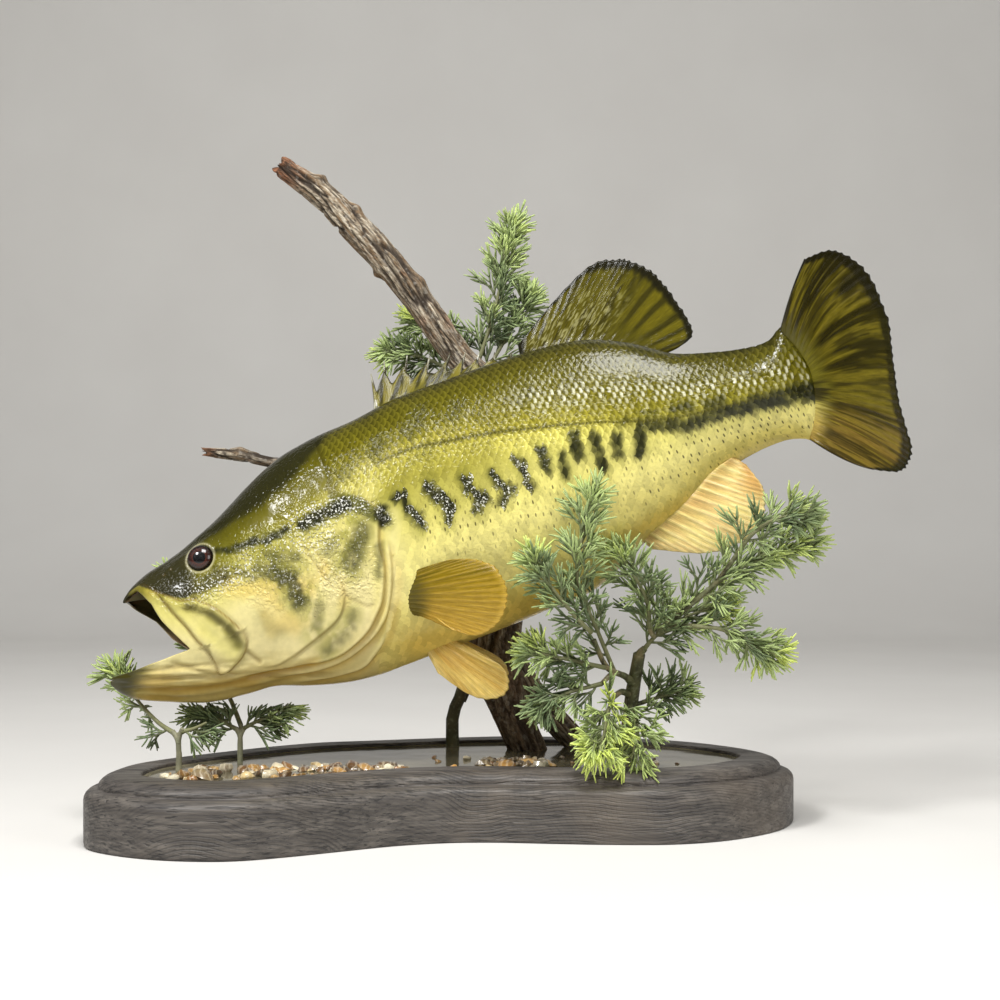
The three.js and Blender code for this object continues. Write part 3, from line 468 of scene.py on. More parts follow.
def headRelief(x, z, s, v):
    # height in mm of bone plates, lips, folds and wrinkles, and how deep in a crease each point is, which sets the
    # painted shade in the creases
    height, creaseShade = np.zeros(x.shape), np.zeros(x.shape)
    plate = insideLine(headLines["maxilla"], x, z)
    lowerEnd = smooth(x, -188, -178)
    height += 1.7 * smooth(plate, -0.4, 1.4) * lowerEnd - 0.5 * np.exp(-((plate + 1.2) / 1.0) ** 2)
    height -= 1.5 * smooth(plate, 2.2, 6.5) * capsule(x, z, -158, 139, -134, 122, 8.5, 5)
    creaseShade = np.maximum(creaseShade, np.exp(-((plate + 0.4) / 0.6) ** 2))
    boss = capsule(x, z, -150, 137.5, -133, 124, 2.2, 2.0)
    height -= 0.8 * boss
    lip, at = nearLine(headLines["lipTop"], x, z)
    height += 0.9 * smooth(-lip, 0.2, 2.2) * smooth(lip, -7, -3.5) * smooth(at, 0.02, 0.25)
    creaseShade = np.maximum(creaseShade, 0.6 * np.exp(-(lip / 0.6) ** 2) * smooth(at, 0.1, 0.3))

    def groove(name, deep, wide, dark=0.7):
        nonlocal height, creaseShade
        gap, at = nearLine(headLines[name], x, z)
        ends = smooth(at, 0.0, 0.12) * smooth(-at, -1.0, -0.82)
        height = height - deep * np.exp(-(gap / wide) ** 2) * ends
        creaseShade = np.maximum(creaseShade, dark * np.exp(-(gap / (0.7 * wide)) ** 2) * ends)

    def shingle(name, high, reach, dark=0.8, under=0.0):
        # cover edge that stands proud of what lies behind and under it
        nonlocal height, creaseShade
        gap, at = nearLine(headLines[name], x, z)
        ends = smooth(at, 0.0, 0.1) * smooth(-at, -1.0, -0.86)
        step = np.exp(np.minimum(gap, 0) / reach) * smooth(-gap, -0.5, 0.7)
        dip = np.exp(-((gap - 1.6) / 1.5) ** 2)
        height = height + (high * step - under * dip) * ends
        creaseShade = np.maximum(creaseShade, dark * np.exp(-((gap - 0.4) / 0.75) ** 2) * ends)

    shingle("gillEdge", 2.4, 12, 0.5, 0.6)
    shingle("foldB", 1.8, 4.5, 0.4, 0.5)
    shingle("foldC", 1.5, 4.5, 0.35, 0.4)
    shingle("preopercle", 1.2, 6, 0.45, 0.3)
    groove("preopercleB", 0.5, 1.3, 0.3)
    groove("subopercle", 0.6, 1.2, 0.3)
    groove("lipCrease", 0.9, 1.1, 0.5)
    groove("corner", 1.2, 1.6, 0.3)
    groove("cheekFold", 1.2, 1.6, 0.6)
    groove("jawA", 1.1, 1.8, 0.35)
    groove("jawB", 2.2, 2.8, 0.35)
    groove("jawC", 1.2, 2.0, 0.3)
    throat = smooth(-z, -116, -98) * smooth(-x, 50, 90)
    rolls = layeredNoise(np.stack([x / 34, (z - 0.06 * x) / 3.6, 0 * x], -1), 4, 2) - 0.5
    height += rolls * 3.6 * throat * smooth(v, 0.02, 0.1)
    creaseShade = np.maximum(creaseShade, 0.5 * smooth(-rolls, 0.1, 0.24) * throat)
    soft = layeredNoise(np.stack([x / 15, z / 11, 0 * x], -1), 12, 2) - 0.5
    height += 0.9 * soft * smooth(-x, 55, 75)
    for px, pz in ((-175.5, 165.5), (-179.5, 162)):
        pit = np.hypot(x - px, (z - pz) * 1.4)
        height += 0.35 * np.exp(-((pit - 1.7) / 0.7) ** 2) - 0.9 * np.exp(-(pit / 1.0) ** 2)
        creaseShade = np.maximum(creaseShade, np.exp(-(pit / 0.9) ** 2))
    crown, _ = nearLine([(-186, 162), (-173.5, 173), (-163.5, 180.5), (-151, 189), (-135, 197), (-117, 205)], x, z)
    height -= 0.45 * np.exp(-(crown / 1.6) ** 2) * smooth(-x, 118, 130)
    return height, creaseShade


# markings, with painted shade and highlights on the head, the same for skin and scales
darkSpots = [  # x1, z1, x2, z2, radius, softness, strength
    (-149.5, 177.5, -132, 179.5, 1.8, 1.6, 0.8), (-132, 179.5, -124, 183, 1.8, 1.8, 0.8),
    (-124, 183, -102, 190, 2.3, 2.0, 0.85), (-152, 160.5, -144, 164, 2.6, 2.5, 0.5),
    (-144, 164, -114, 163, 2.2, 3.0, 0.4), (-118.5, 168, -107.5, 166, 3.0, 3.0, 0.48),
    (-107.5, 166, -97.5, 159.5, 5.2, 3.4, 0.62), (-97.5, 159.5, -92.3, 147, 4.8, 3.4, 0.62),
    (-113.5, 175.5, -94.5, 172.5, 3.0, 3.0, 0.38), (-90.5, 194, -64, 206.5, 4.2, 2.2, 0.95),
    (-53, 190.5, -60, 171, 5.6, 4.2, 0.5), (-43.5, 181, -43, 163, 2.2, 2.4, 0.4),
    (-42.5, 203, -39.5, 196.5, 3.4, 2.0, 0.95), (-81, 143.5, -82.5, 131, 3.5, 3.0, 0.3),
    (-60, 137, -60, 131, 2.8, 2.5, 0.3), (-73.5, 181, -76, 178, 4.0, 3.5, 0.3),
    (-116, 138, -107, 128, 5.0, 4.0, 0.14), (-65, 124.5, -76, 116, 3.0, 3.0, 0.32),
    (-34, 209.5, -28.5, 211, 3.0, 1.8, 0.95), (-28.5, 209, -24, 200.5, 3.3, 1.8, 0.95),
    (-24, 200.5, -17.5, 191, 3.0, 1.8, 0.95), (-13, 219, -9.5, 211.5, 3.2, 1.8, 0.95),
    (-8, 211.5, 0, 204, 4.5, 2.0, 0.95), (-2, 203, -1, 196, 3.3, 1.8, 0.9),
    (9.5, 225, 13, 217.5, 2.7, 1.8, 0.9), (12.5, 216.5, 20.5, 209, 4.2, 2.0, 0.95),
    (16.5, 208, 16.5, 201.5, 2.4, 1.8, 0.85), (25.5, 225.5, 30, 219, 2.7, 1.8, 0.9),
    (30.5, 219, 38.5, 215, 3.0, 1.8, 0.9), (35.5, 215, 33.5, 208, 2.7, 1.8, 0.85),
    (40, 234, 44, 230, 3.0, 1.8, 0.9), (44, 229.5, 47.5, 222.5, 3.0, 1.8, 0.95),
    (48, 222.5, 51.5, 217.5, 2.4, 1.8, 0.9), (57, 241, 59.5, 232.5, 3.2, 1.8, 0.92),
    (60, 231.5, 61.5, 227, 2.1, 1.6, 0.9), (70, 236, 73, 224, 3.0, 1.8, 0.9),
    (77, 249.5, 81, 238, 3.3, 2.0, 0.92), (90.5, 250, 92, 240, 2.8, 1.8, 0.92),
    (92, 239, 96, 229, 3.0, 1.8, 0.92), (104, 250, 104.5, 236.5, 3.0, 1.8, 0.92),
    (118, 252.5, 118.5, 239.5, 3.3, 2.0, 0.92), (106, 257, 125, 256.5, 1.6, 2.0, 0.75),
    (124.5, 255.5, 149.5, 255, 3.9, 2.4, 0.85), (149.5, 256.5, 168, 262.5, 4.3, 2.4, 0.92),
    (167.5, 263.5, 192, 267.5, 4.2, 2.4, 0.95), (192, 268, 213, 275, 5.2, 2.6, 0.95),
    (213, 275.5, 226, 275.5, 6.4, 2.8, 0.92), (119, 262.5, 128, 263.5, 1.7, 2.0, 0.6),
    (138.5, 265, 149.5, 266, 2.6, 2.2, 0.7), (159, 268.5, 169, 270.5, 2.6, 2.2, 0.7),
    (-25.5, 253, -20, 264.5, 5.0, 4.0, 0.34), (-43.5, 246.5, -48.5, 239, 5.0, 4.0, 0.32),
    (0, 259.5, 4, 267, 4.0, 4.0, 0.28), (-63.5, 227.5, -68.5, 222.5, 4.0, 4.0, 0.3),
    (44.5, 272, 50, 278, 4.0, 4.0, 0.25), (-20, 236, -14, 240, 3.0, 3.5, 0.2),
]
fishColours = {
    "back": [(0, 130, 123, 42), (0.22, 102, 96, 22), (0.5, 82, 77, 12), (0.75, 72, 68, 12),
             (0.9, 64, 60, 15), (1, 48, 46, 16)],
    # belly, flank and cheek rows darken toward the underside in their last rows: painted shade beneath the body
    "belly": [(0, 164, 156, 66), (0.08, 188, 180, 90), (0.22, 208, 199, 112), (0.5, 222, 211, 128),
              (0.78, 214, 199, 112), (1, 196, 176, 96)],
    "flank": [(0, 140, 133, 50), (0.14, 140, 133, 54), (0.27, 180, 172, 88), (0.42, 212, 202, 120),
              (0.6, 220, 209, 128), (0.78, 214, 199, 112), (1, 196, 176, 96)],
    "cheek": [(0, 164, 156, 76), (0.16, 194, 185, 108), (0.38, 218, 206, 142), (0.7, 220, 207, 148),
              (0.9, 208, 192, 128), (1, 192, 172, 104)],
    # ochre colours the jaw underside and paints shadow in the jaw groove and behind the gill folds
    "dark": (30, 31, 14), "olive": (60, 57, 14), "crown": (34, 33, 11), "gold": (214, 172, 66),
    "snout": (44, 42, 22), "creaseShade": (104, 80, 34), "patch": (92, 86, 36), "flap": (84, 84, 40),
    "lateral": (62, 58, 16), "green": (122, 120, 42), "mouth": (206, 176, 138), "ochre": (172, 136, 54), "palate": (48, 44, 24),
}


def ragged(x, z, size, seed):
    return layeredNoise(np.stack([x / size, z / size, 0 * x], -1), seed) - 0.5


def paint(x, z, s, v):
    # colour in 0..255 and darkness mask of the fish at side-view place x, z and body place s, v
    tone = np.interp(s, *np.array(toneRows).T)
    up = np.clip((v - tone) / (1 - tone), 0, 1)
    down = np.clip((tone - v) / tone, 0, 1)
    c = {key: np.array(value, float) for key, value in fishColours.items() if not isinstance(value, list)}
    wobble = ragged(x, z, 9, 3)
    cloud = ragged(x, z, 22, 7)
    onHead = smooth(-x, 38, 52)
    below = np.clip(down + 0.05 * wobble, 0, 1)
    under = mixRows(ramp(below, fishColours["belly"]), ramp(below, fishColours["flank"]), smooth(-x, -62, -8))
    under = mixRows(under, ramp(down, fishColours["cheek"]), onHead)
    over = ramp(np.clip(up + 0.14 * wobble + 0.12 * cloud, 0, 1), fishColours["back"])
    band = 0.02 + 0.05 * onHead * smooth(s, 3.6, 4.4)
    colour = mixRows(under, over, smooth(v - tone + (0.03 + 0.12 * onHead) * wobble, -band - 0.01, band))
    gold = capsule(x, z, -20, 118, 60, 146, 9, 14) * 0.55 + capsule(x, z, 95, 176, 150, 208, 3, 8) * 0.5
    colour = mixRows(colour, c["gold"], np.clip(gold, 0, 0.7))
    warm = onHead * smooth(cloud, 0.06, 0.3) * smooth(-np.abs(z - 150), -34, -16) * 0.3
    colour = mixRows(colour, c["gold"], warm)
    # ochre under the jaw is partly a warm tone and partly painted shade of its folds; along the jaw groove it is
    # painted shadow
    below = smooth(-z, -112, -88) * smooth(-x, 40, 80)
    ochre = below * (0.16 + 0.42 * smooth(ragged(x, z * 5, 26, 9), -0.1, 0.2))
    jaw, at = nearLine(headLines["jawB"], x, z)
    ochre = np.maximum(ochre, 0.8 * np.exp(-((jaw + 0.6) / 2.6) ** 2) * smooth(at, 0.02, 0.2) * smooth(-at, -1, -0.9))
    colour = mixRows(colour, c["ochre"], np.clip(ochre, 0, 0.85))
    # painted shadow in ochre just behind the gill edge and folds, and a painted highlight in pale on their raised edges
    for name, strength, wide in (("gillEdge", 0.45, 3.0), ("foldB", 0.4, 2.2), ("foldC", 0.4, 2.4)):
        gap, at = nearLine(headLines[name], x, z)
        shadow = np.exp(-((gap - 1.2) / wide) ** 2) * smooth(at, 0.0, 0.1) * smooth(-at, -1, -0.9)
        colour = mixRows(colour, c["ochre"], strength * shadow * smooth(-z, -205, -170))
        ridge = np.exp(-((gap + 1.5) / 1.3) ** 2) * smooth(at, 0.0, 0.1) * smooth(-at, -1, -0.9)
        colour = mixRows(colour, np.array([240, 230, 172.0]), 0.45 * ridge * smooth(-z, -205, -180))
    greenish = np.maximum.reduce([
        capsule(x, z, -112, 178, -92, 150, 12, 9), capsule(x, z, -60, 192, -62, 168, 10, 8),
        capsule(x, z, -88, 150, -84, 128, 8, 8) * 0.7, capsule(x, z, -62, 140, -76, 118, 7, 7) * 0.7,
        capsule(x, z, -136, 172, -112, 176, 7, 7)]) * smooth(ragged(x, z, 6, 17), -0.22, 0.12)
    colour = mixRows(colour, c["green"], 0.55 * greenish)
    crown = smooth(v - np.interp(s, *np.array(crownRows).T) + 0.03 * wobble, -0.03, 0.02)
    colour = mixRows(colour, c["crown"], 0.92 * crown)
    mask = smooth(v - tone, -0.004, 0.012) * smooth(-s - 0.012 * (z - 150) * smooth(z, 150, 160), -4.25, -3.55)
    mask = np.maximum(mask, 0.8 * capsule(x + 3 * wobble, z, -160, 152, -140, 161, 2.5, 3.5))
    colour = mixRows(colour, c["snout"], 0.95 * mask)
    lipShade = smooth(-x, 183, 196) * smooth(z, 140, 152)
    colour = mixRows(colour, c["olive"] * 1.5, 0.7 * lipShade * (1 - mask))
    tip = smooth(-x + 0.6 * (z - 92) + 4 * wobble, 186, 206) * smooth(-z, -112, -104)
    edgeDark = 0.6 * smooth(-x, 180, 205) * smooth(z - 0.3 * (x + 210), 99, 103) * smooth(-z, -118, -112)
    colour = mixRows(colour, c["olive"] * 0.85, np.clip(np.maximum(0.95 * tip, edgeDark), 0, 0.95))
    shield = np.maximum.reduce([
        capsule(x, z, -162, 142.5, -148, 138.5, 1.8, 3.0), capsule(x, z, -148, 138.5, -137, 130, 3.4, 3.6),
        capsule(x, z, -137, 130, -131, 120, 3.8, 2.8)])
    colour = mixRows(colour, c["patch"], 0.9 * shield * smooth(ragged(x, z, 5, 23), -0.5, 0.0))
    hollow = capsule(x, z, -150, 128, -134, 114, 6, 6)
    colour = mixRows(colour, c["green"] * 1.35, 0.3 * hollow)
    bare = capsule(x, z, -36, 200, -33, 150, 5, 7)
    colour = mixRows(colour, np.array([222, 212, 152.0]), 0.6 * bare)
    flap = np.maximum(capsule(x, z, -70, 210, -54, 205, 5, 2), capsule(x, z, -54, 205, -46, 199, 4, 2))
    edge, _ = nearLine(headLines["gillEdge"], x, z)
    colour = mixRows(colour, c["flap"], 0.85 * flap * smooth(-edge, -0.5, 0.5))
    fray = 7.0 * ragged(x, z, 4.2, 5) + 5.0 * ragged(x, z, 11, 6)
    broken = smooth(ragged(x, z, 3.4, 19) + 0.35, 0.0, 0.34)
    dark, faint = np.zeros(x.shape), np.zeros(x.shape)
    for x1, z1, x2, z2, r, soft, strength in darkSpots:
        spot = capsule(x + 0.6 * fray, z + fray, x1, z1, x2, z2, r, soft)
        halo = capsule(x + fray, z - fray, x1, z1, x2, z2, r + 2.2, soft + 2.4)
        dark = np.maximum(dark, strength * spot * (0.55 + 0.45 * broken))
        faint = np.maximum(faint, 0.4 * strength * halo)
    colour = mixRows(colour, c["green"] * 0.9, faint * smooth(-np.abs(x + 15), -300, -20))
    line = np.abs(v - tone) * 170
    dark = np.maximum(dark, 0.66 * smooth(-line, -1.9, -0.5) * smooth(x, -48, -20))
    colour = mixRows(colour, c["dark"], dark)
    return colour, dark


# skin
skinValues = {"lining": 11, "lipRoll": 6, "head": 204, "body": 58, "rows": 340, "headEnd": 10.3,
              "lipRadius": 1.5, "coat": 0.6}
# where each height of the snout opens into the mouth, on the left and on the right
lipRows = [(0, 0), (0.08, 0), (0.171, 0.74), (0.252, 1.76), (0.304, 2.46), (0.324, 2.82), (0.346, 3.2),
           (0.362, 3.64), (0.388, 3.56), (0.425, 3.44), (0.509, 3.14), (0.608, 2.78), (0.688, 2.56),
           (0.757, 2.38), (0.873, 1.9), (0.948, 1.5), (0.985, 0.6), (1, 0)]
farLipRows = [(0, 0), (0.08, 0), (0.16, 1.0), (0.19, 1.76), (0.235, 2.44), (0.26, 2.8), (0.29, 3.3),
              (0.31, 3.6), (0.33, 3.5), (0.36, 3.34), (0.4, 3.16), (0.477, 2.9), (0.577, 2.54), (0.65, 2.14),
              (0.751, 1.54), (0.841, 1.02), (0.974, 0.1), (1, 0)]


def coatRegion(x, z, s, v):
    # 1 where the scale coat covers the body behind the head
    edge, _ = nearLine(headLines["gillEdge"][:9], x, z)
    nape = smooth(x + 0.45 * (z - 215), -74, -70) * smooth(z, 208, 214)
    low = smooth(x - 0.18 * (z - 168), -34, -31)
    behind = np.where(z > 196, np.maximum(nape, low), low)
    return behind * smooth(-s, -20.6, -20.2)


def skinPlace(a, b):
    k = skinValues
    columns = k["lining"] + k["lipRoll"] + k["head"] + k["body"] + 1
    step = a * columns
    way = np.where(b <= 0.5, 1.0, -1.0)
    turn = np.where(b <= 0.5, 2 * b, 2 - 2 * b)
    v = (1 - np.cos(np.pi * turn)) / 4 + turn / 2
    lip = np.where(way > 0, np.interp(v, *np.array(lipRows).T), np.interp(v, *np.array(farLipRows).T))
    fine = np.linspace(0, tailEnd, 400)
    mid = blend(stations, fine)[:, [0, 2]].mean(1)
    start, end = np.interp(lip, fine, mid), np.interp(k["headEnd"], fine, mid)
    first = k["lining"] + k["lipRoll"]
    head = np.clip((step - first) / k["head"], 0, 1)
    body = np.clip((step - first - k["head"]) / k["body"], 0, 1)
    s = np.interp(start + (end - start) * head + (mid[-1] - end) * body, mid, fine)
    s = np.where(head <= 0, lip, s)
    base = flank(s, v, 1.0)
    x, z = base[:, 0], base[:, 2]
    height, creaseShade = headRelief(x, z, s, v)
    ahead = smooth(-s, -10.2, -9.6)
    height, creaseShade = height * ahead, creaseShade * ahead
    coat = coatRegion(x, z, s, v)
    out = flankNormal(s, v, way)
    points = flank(s, v, way) + out * (height * (1 - coat) - k["coat"] * coat)[:, None]
    # last column shuts the tail root inside the caudal fin
    shut = step > columns - 0.5
    points[shut] = flank(s[shut], v[shut], way[shut], 3.999)
    # eye sockets: raised rim round a sunken hole
    for side in (1, -1):
        at, axis = eyeFrame(side)
        rel = points - at
        deep = rel @ axis
        r = np.linalg.norm(rel - deep[:, None] * axis, axis=1)
        near = (way == side) & (r < 16) & (np.abs(deep) < 16)
        rim = 0.9 * np.exp(-((r - eyeSpot["ring"]) / 0.75) ** 2) - 3.2 * smooth(-r, -eyeSpot["hole"] - 0.3, -7.2)
        level = np.clip(-deep, -1.5, 1.5) * smooth(-r, -12, -9)
        points += np.where(near, rim + 0.6 * level, 0)[:, None] * axis
    # lips roll over into the mouth and run back to the throat
    heading = unit(flank(lip + 0.12, v, way) - flank(lip, v, way))
    radius = k["lipRadius"] * (0.55 + 0.45 * smooth(np.abs(v - 0.366), 0, 0.06))
    angle = np.pi * np.clip((first - step) / k["lipRoll"], 0, 1)
    rolled = points - heading * (radius * np.sin(angle))[:, None] - out * (radius * (1 - np.cos(angle)))[:, None]
    inner = step < first
    points = np.where(inner[:, None], rolled, points)
    w = np.clip((k["lining"] - step) / k["lining"], 0, 1)
    deepS = lip + (6.2 - lip) * w
    deepV = v * (1 - w) + (0.03 + 0.5 * v) * w
    hollow = flank(deepS, deepV, way, 2 * radius + 3.2 * w)
    q, side = sectionFrame(deepS)
    back = step < k["lining"]
    points = np.where(back[:, None], hollow, points)
    closed = step < 0.5
    points[closed] = flank(deepS[closed], deepV[closed], way[closed], 40)
    colour, dark = paint(x, z, s, v)
    c = fishColours
    # painted shade: creases, folds and nostril pits darkened brown where shade falls
    colour = mixRows(colour, np.array(c["creaseShade"], float), 0.62 * creaseShade * (1 - dark))
    upper = smooth(v, 0.4, 0.5)
    palate = upper * smooth(-base[:, 0], 168, 186)
    # painted shade: the mouth lining darkens deeper into the mouth
    wet = mixRows(np.array(c["mouth"], float) + 0 * colour, np.array([84, 66, 44.0]), np.clip(w * 1.8, 0, 1))
    gum = np.array([176, 162, 124.0])
    wet = mixRows(wet, gum, 0.7 * upper)
    wet = mixRows(wet, np.array(c["palate"], float), 0.95 * palate)
    blush = layeredNoise(points / 5, 27) - 0.5
    wet = mixRows(wet, np.array([92, 52, 32.0]), 0.4 * smooth(blush, 0.0, 0.2) * palate)
    inside = smooth(angle, 1.5, 2.4)
    colour = mixRows(colour, wet, inside)
    rimTone = np.zeros(len(a))
    for side in (1, -1):
        at, axis = eyeFrame(side)
        rel = points - at
        r = np.linalg.norm(rel - (rel @ axis)[:, None] * axis, axis=1)
        ring = np.exp(-((r - eyeSpot["ring"]) / 0.8) ** 2) * (way == side)
        rimTone = np.maximum(rimTone, ring)
        hole = smooth(-r, -8.6, -8.0) * (way == side) * (np.linalg.norm(rel, axis=1) < 14)
        colour = mixRows(colour, np.array([20, 16, 12.0]), hole)
    colour = mixRows(colour, np.array([176, 170, 142.0]), 0.85 * rimTone)
    # grit roughens the varnish and also places painted glints: white specks on the snout, cheek and gill cover
    grit = np.maximum.reduce([
        capsule(x, z, -158, 152, -112, 172, 8, 10), capsule(x, z, -96, 196, -56, 208, 9, 7),
        0.45 * capsule(x, z, -178, 153, -158, 152, 8, 6), 0.9 * capsule(x, z, -44, 202, -36, 196, 3, 4),
        0.8 * capsule(x, z, -124, 176, -70, 186, 10, 10), 0.5 * capsule(x, z, -110, 160, -60, 165, 16, 14),
        0.14 * smooth(v - 0.8, 0, 0.1) * smooth(-x, 66, 90)])
    grit = np.clip(grit, 0, 1) * (1 - inside) * smooth(-x, 30, 38)
    return {"points": points, "tint": toLinear(colour), "grit": grit * (1 - rimTone), "wet": inside}


def skinMaterial():
    material, tree, shader = newMaterial("paintedSkin", **{
        "Roughness": 0.16, "Specular IOR Level": 0.27})
    tint = attribute(tree, "tint", "Color")
    # painted glints: white specks where grit is high
    glintNoise = addNode(tree, "TexNoise", {"Vector": objectPoint(tree), "Scale": 820.0, "Detail": 1.0})
    lit = spread(tree, attribute(tree, "grit"), 0.3, 0.95)
    paintedGlint = reckon(tree, "MULTIPLY", spread(tree, glintNoise.outputs[0], 0.56, 0.64), lit)
    flecksAndGlints = mixColour(tree, reckon(tree, "MULTIPLY", paintedGlint, 0.8), tint, shade(232, 231, 220))
    look = useGroup(tree, varnishedPaint, Colour=flecksAndGlints, Mottle=0.3, MottleScale=230.0, Lumps=0.2,
                    LumpScale=260.0)
    beads = addNode(tree, "TexNoise", {"Vector": objectPoint(tree), "Scale": 430.0, "Detail": 1.0})
    height = reckon(tree, "MULTIPLY", spread(tree, beads.outputs[0], 0.38, 0.64), attribute(tree, "grit"))
    bump = addNode(tree, "Bump", {"Height": height, "Strength": 1.0, "Distance": 0.0013,
                                  "Normal": look["Normal"]})
    tree.links.new(look["Colour"], shader.inputs["Base Color"])
    tree.links.new(bump.outputs[0], shader.inputs["Normal"])
    return material


skin = gridPiece(
    "skin", skinValues["lining"] + skinValues["lipRoll"] + skinValues["head"] + skinValues["body"] + 1,
    skinValues["rows"], skinPlace, skinMaterial(),
    ("head", "lower_jaw", "trunk", "tail", "maxilla_left", "maxilla_right", "gill_cover_left", "gill_cover_right"),
)
print("skin:", len(skin.data.polygons), "faces")


# scales
scaleValues = {"pitch": 4.6, "row": 4.1, "long": 1.9, "wide": 2.1, "lift": 0.16, "root": 0.22, "seed": 21}
cheekValues = {"pitch": 3.6, "row": 3.2, "long": 1.6, "wide": 1.8, "lift": 0.07, "root": 0.14, "seed": 22}


def scaleShape():
    # one plate: root at a 0, rounded free edge at a 1, b across, third column is height 0..1
    bm = bmesh.new()
    bmesh.ops.create_grid(bm, x_segments=5, y_segments=5, size=0.5)
    for vert in bm.verts:
        a, b = vert.co.x + 0.5, vert.co.y * 2
        a = a ** 0.8
        wide = (0.66 + 0.34 * math.sin(math.pi * min(a / 0.6, 1) / 2)) if a < 0.6 else \
            math.sqrt(max(1 - ((a - 0.6) / 0.43) ** 2, 0.03))
        rise = a - 0.3 * max(a - 0.9, 0) / 0.1
        vert.co = (a - 0.06 * b * b * (1 - a), b * wide, rise - 0.05 * (b * wide) ** 2)
    rim = [e for e in bm.edges if e.is_boundary]
    bmesh.ops.holes_fill(bm, edges=rim, sides=0)
    return unitShape(bm)


def rowTable(values):
    # lattice rows that follow the lateral line, and lattice columns a pitch apart along it
    s = np.linspace(0, tailEnd, 420)
    v = (1 - np.cos(np.pi * np.linspace(0, 1, 300))) / 2
    points = flank(s[:, None], v[None, :], 1.0)
    girth = np.zeros(points.shape[:2])
    girth[:, 1:] = np.cumsum(np.linalg.norm(np.diff(points, axis=1), axis=2), axis=1)
    tone = np.interp(s, *np.array(toneRows).T)
    level = np.array([np.interp(t, v, g) for t, g in zip(tone, girth)])
    middle = flank(s, tone, 1.0)
    run = np.concatenate([[0], np.cumsum(np.linalg.norm(np.diff(middle, axis=0), axis=1))])
    return s, v, girth, level, run


def scaleCentres(values, region):
    s, v, girth, level, run = rowTable(values)
    rng = np.random.default_rng(values["seed"])
    found = []
    for row in range(-34, 30):
        aim = level + (row + 0.5) * values["row"]
        heights = np.array([np.interp(g, line, v) for g, line in zip(aim, girth)])
        valid = (aim > 0.25 * values["row"]) & (aim < girth[:, -1] - 0.25 * values["row"])
        phase = (0.5 if row % 2 else 0.0) + 0.25
        at = (np.arange(int(run[-1] / values["pitch"]) + 1) + phase) * values["pitch"]
        here = np.interp(at, run, s)
        keep = np.interp(at, run, valid.astype(float)) > 0.99
        for place, high in zip(here[keep], np.interp(here[keep], s, heights)):
            found.append((place, high, row))
    found = np.array(found)
    base = flank(found[:, 0], found[:, 1], 1.0)
    inside = region(base[:, 0], base[:, 2], found[:, 0], found[:, 1]) > 0.2
    found = found[inside]
    return found, rng.random((len(found), 3))


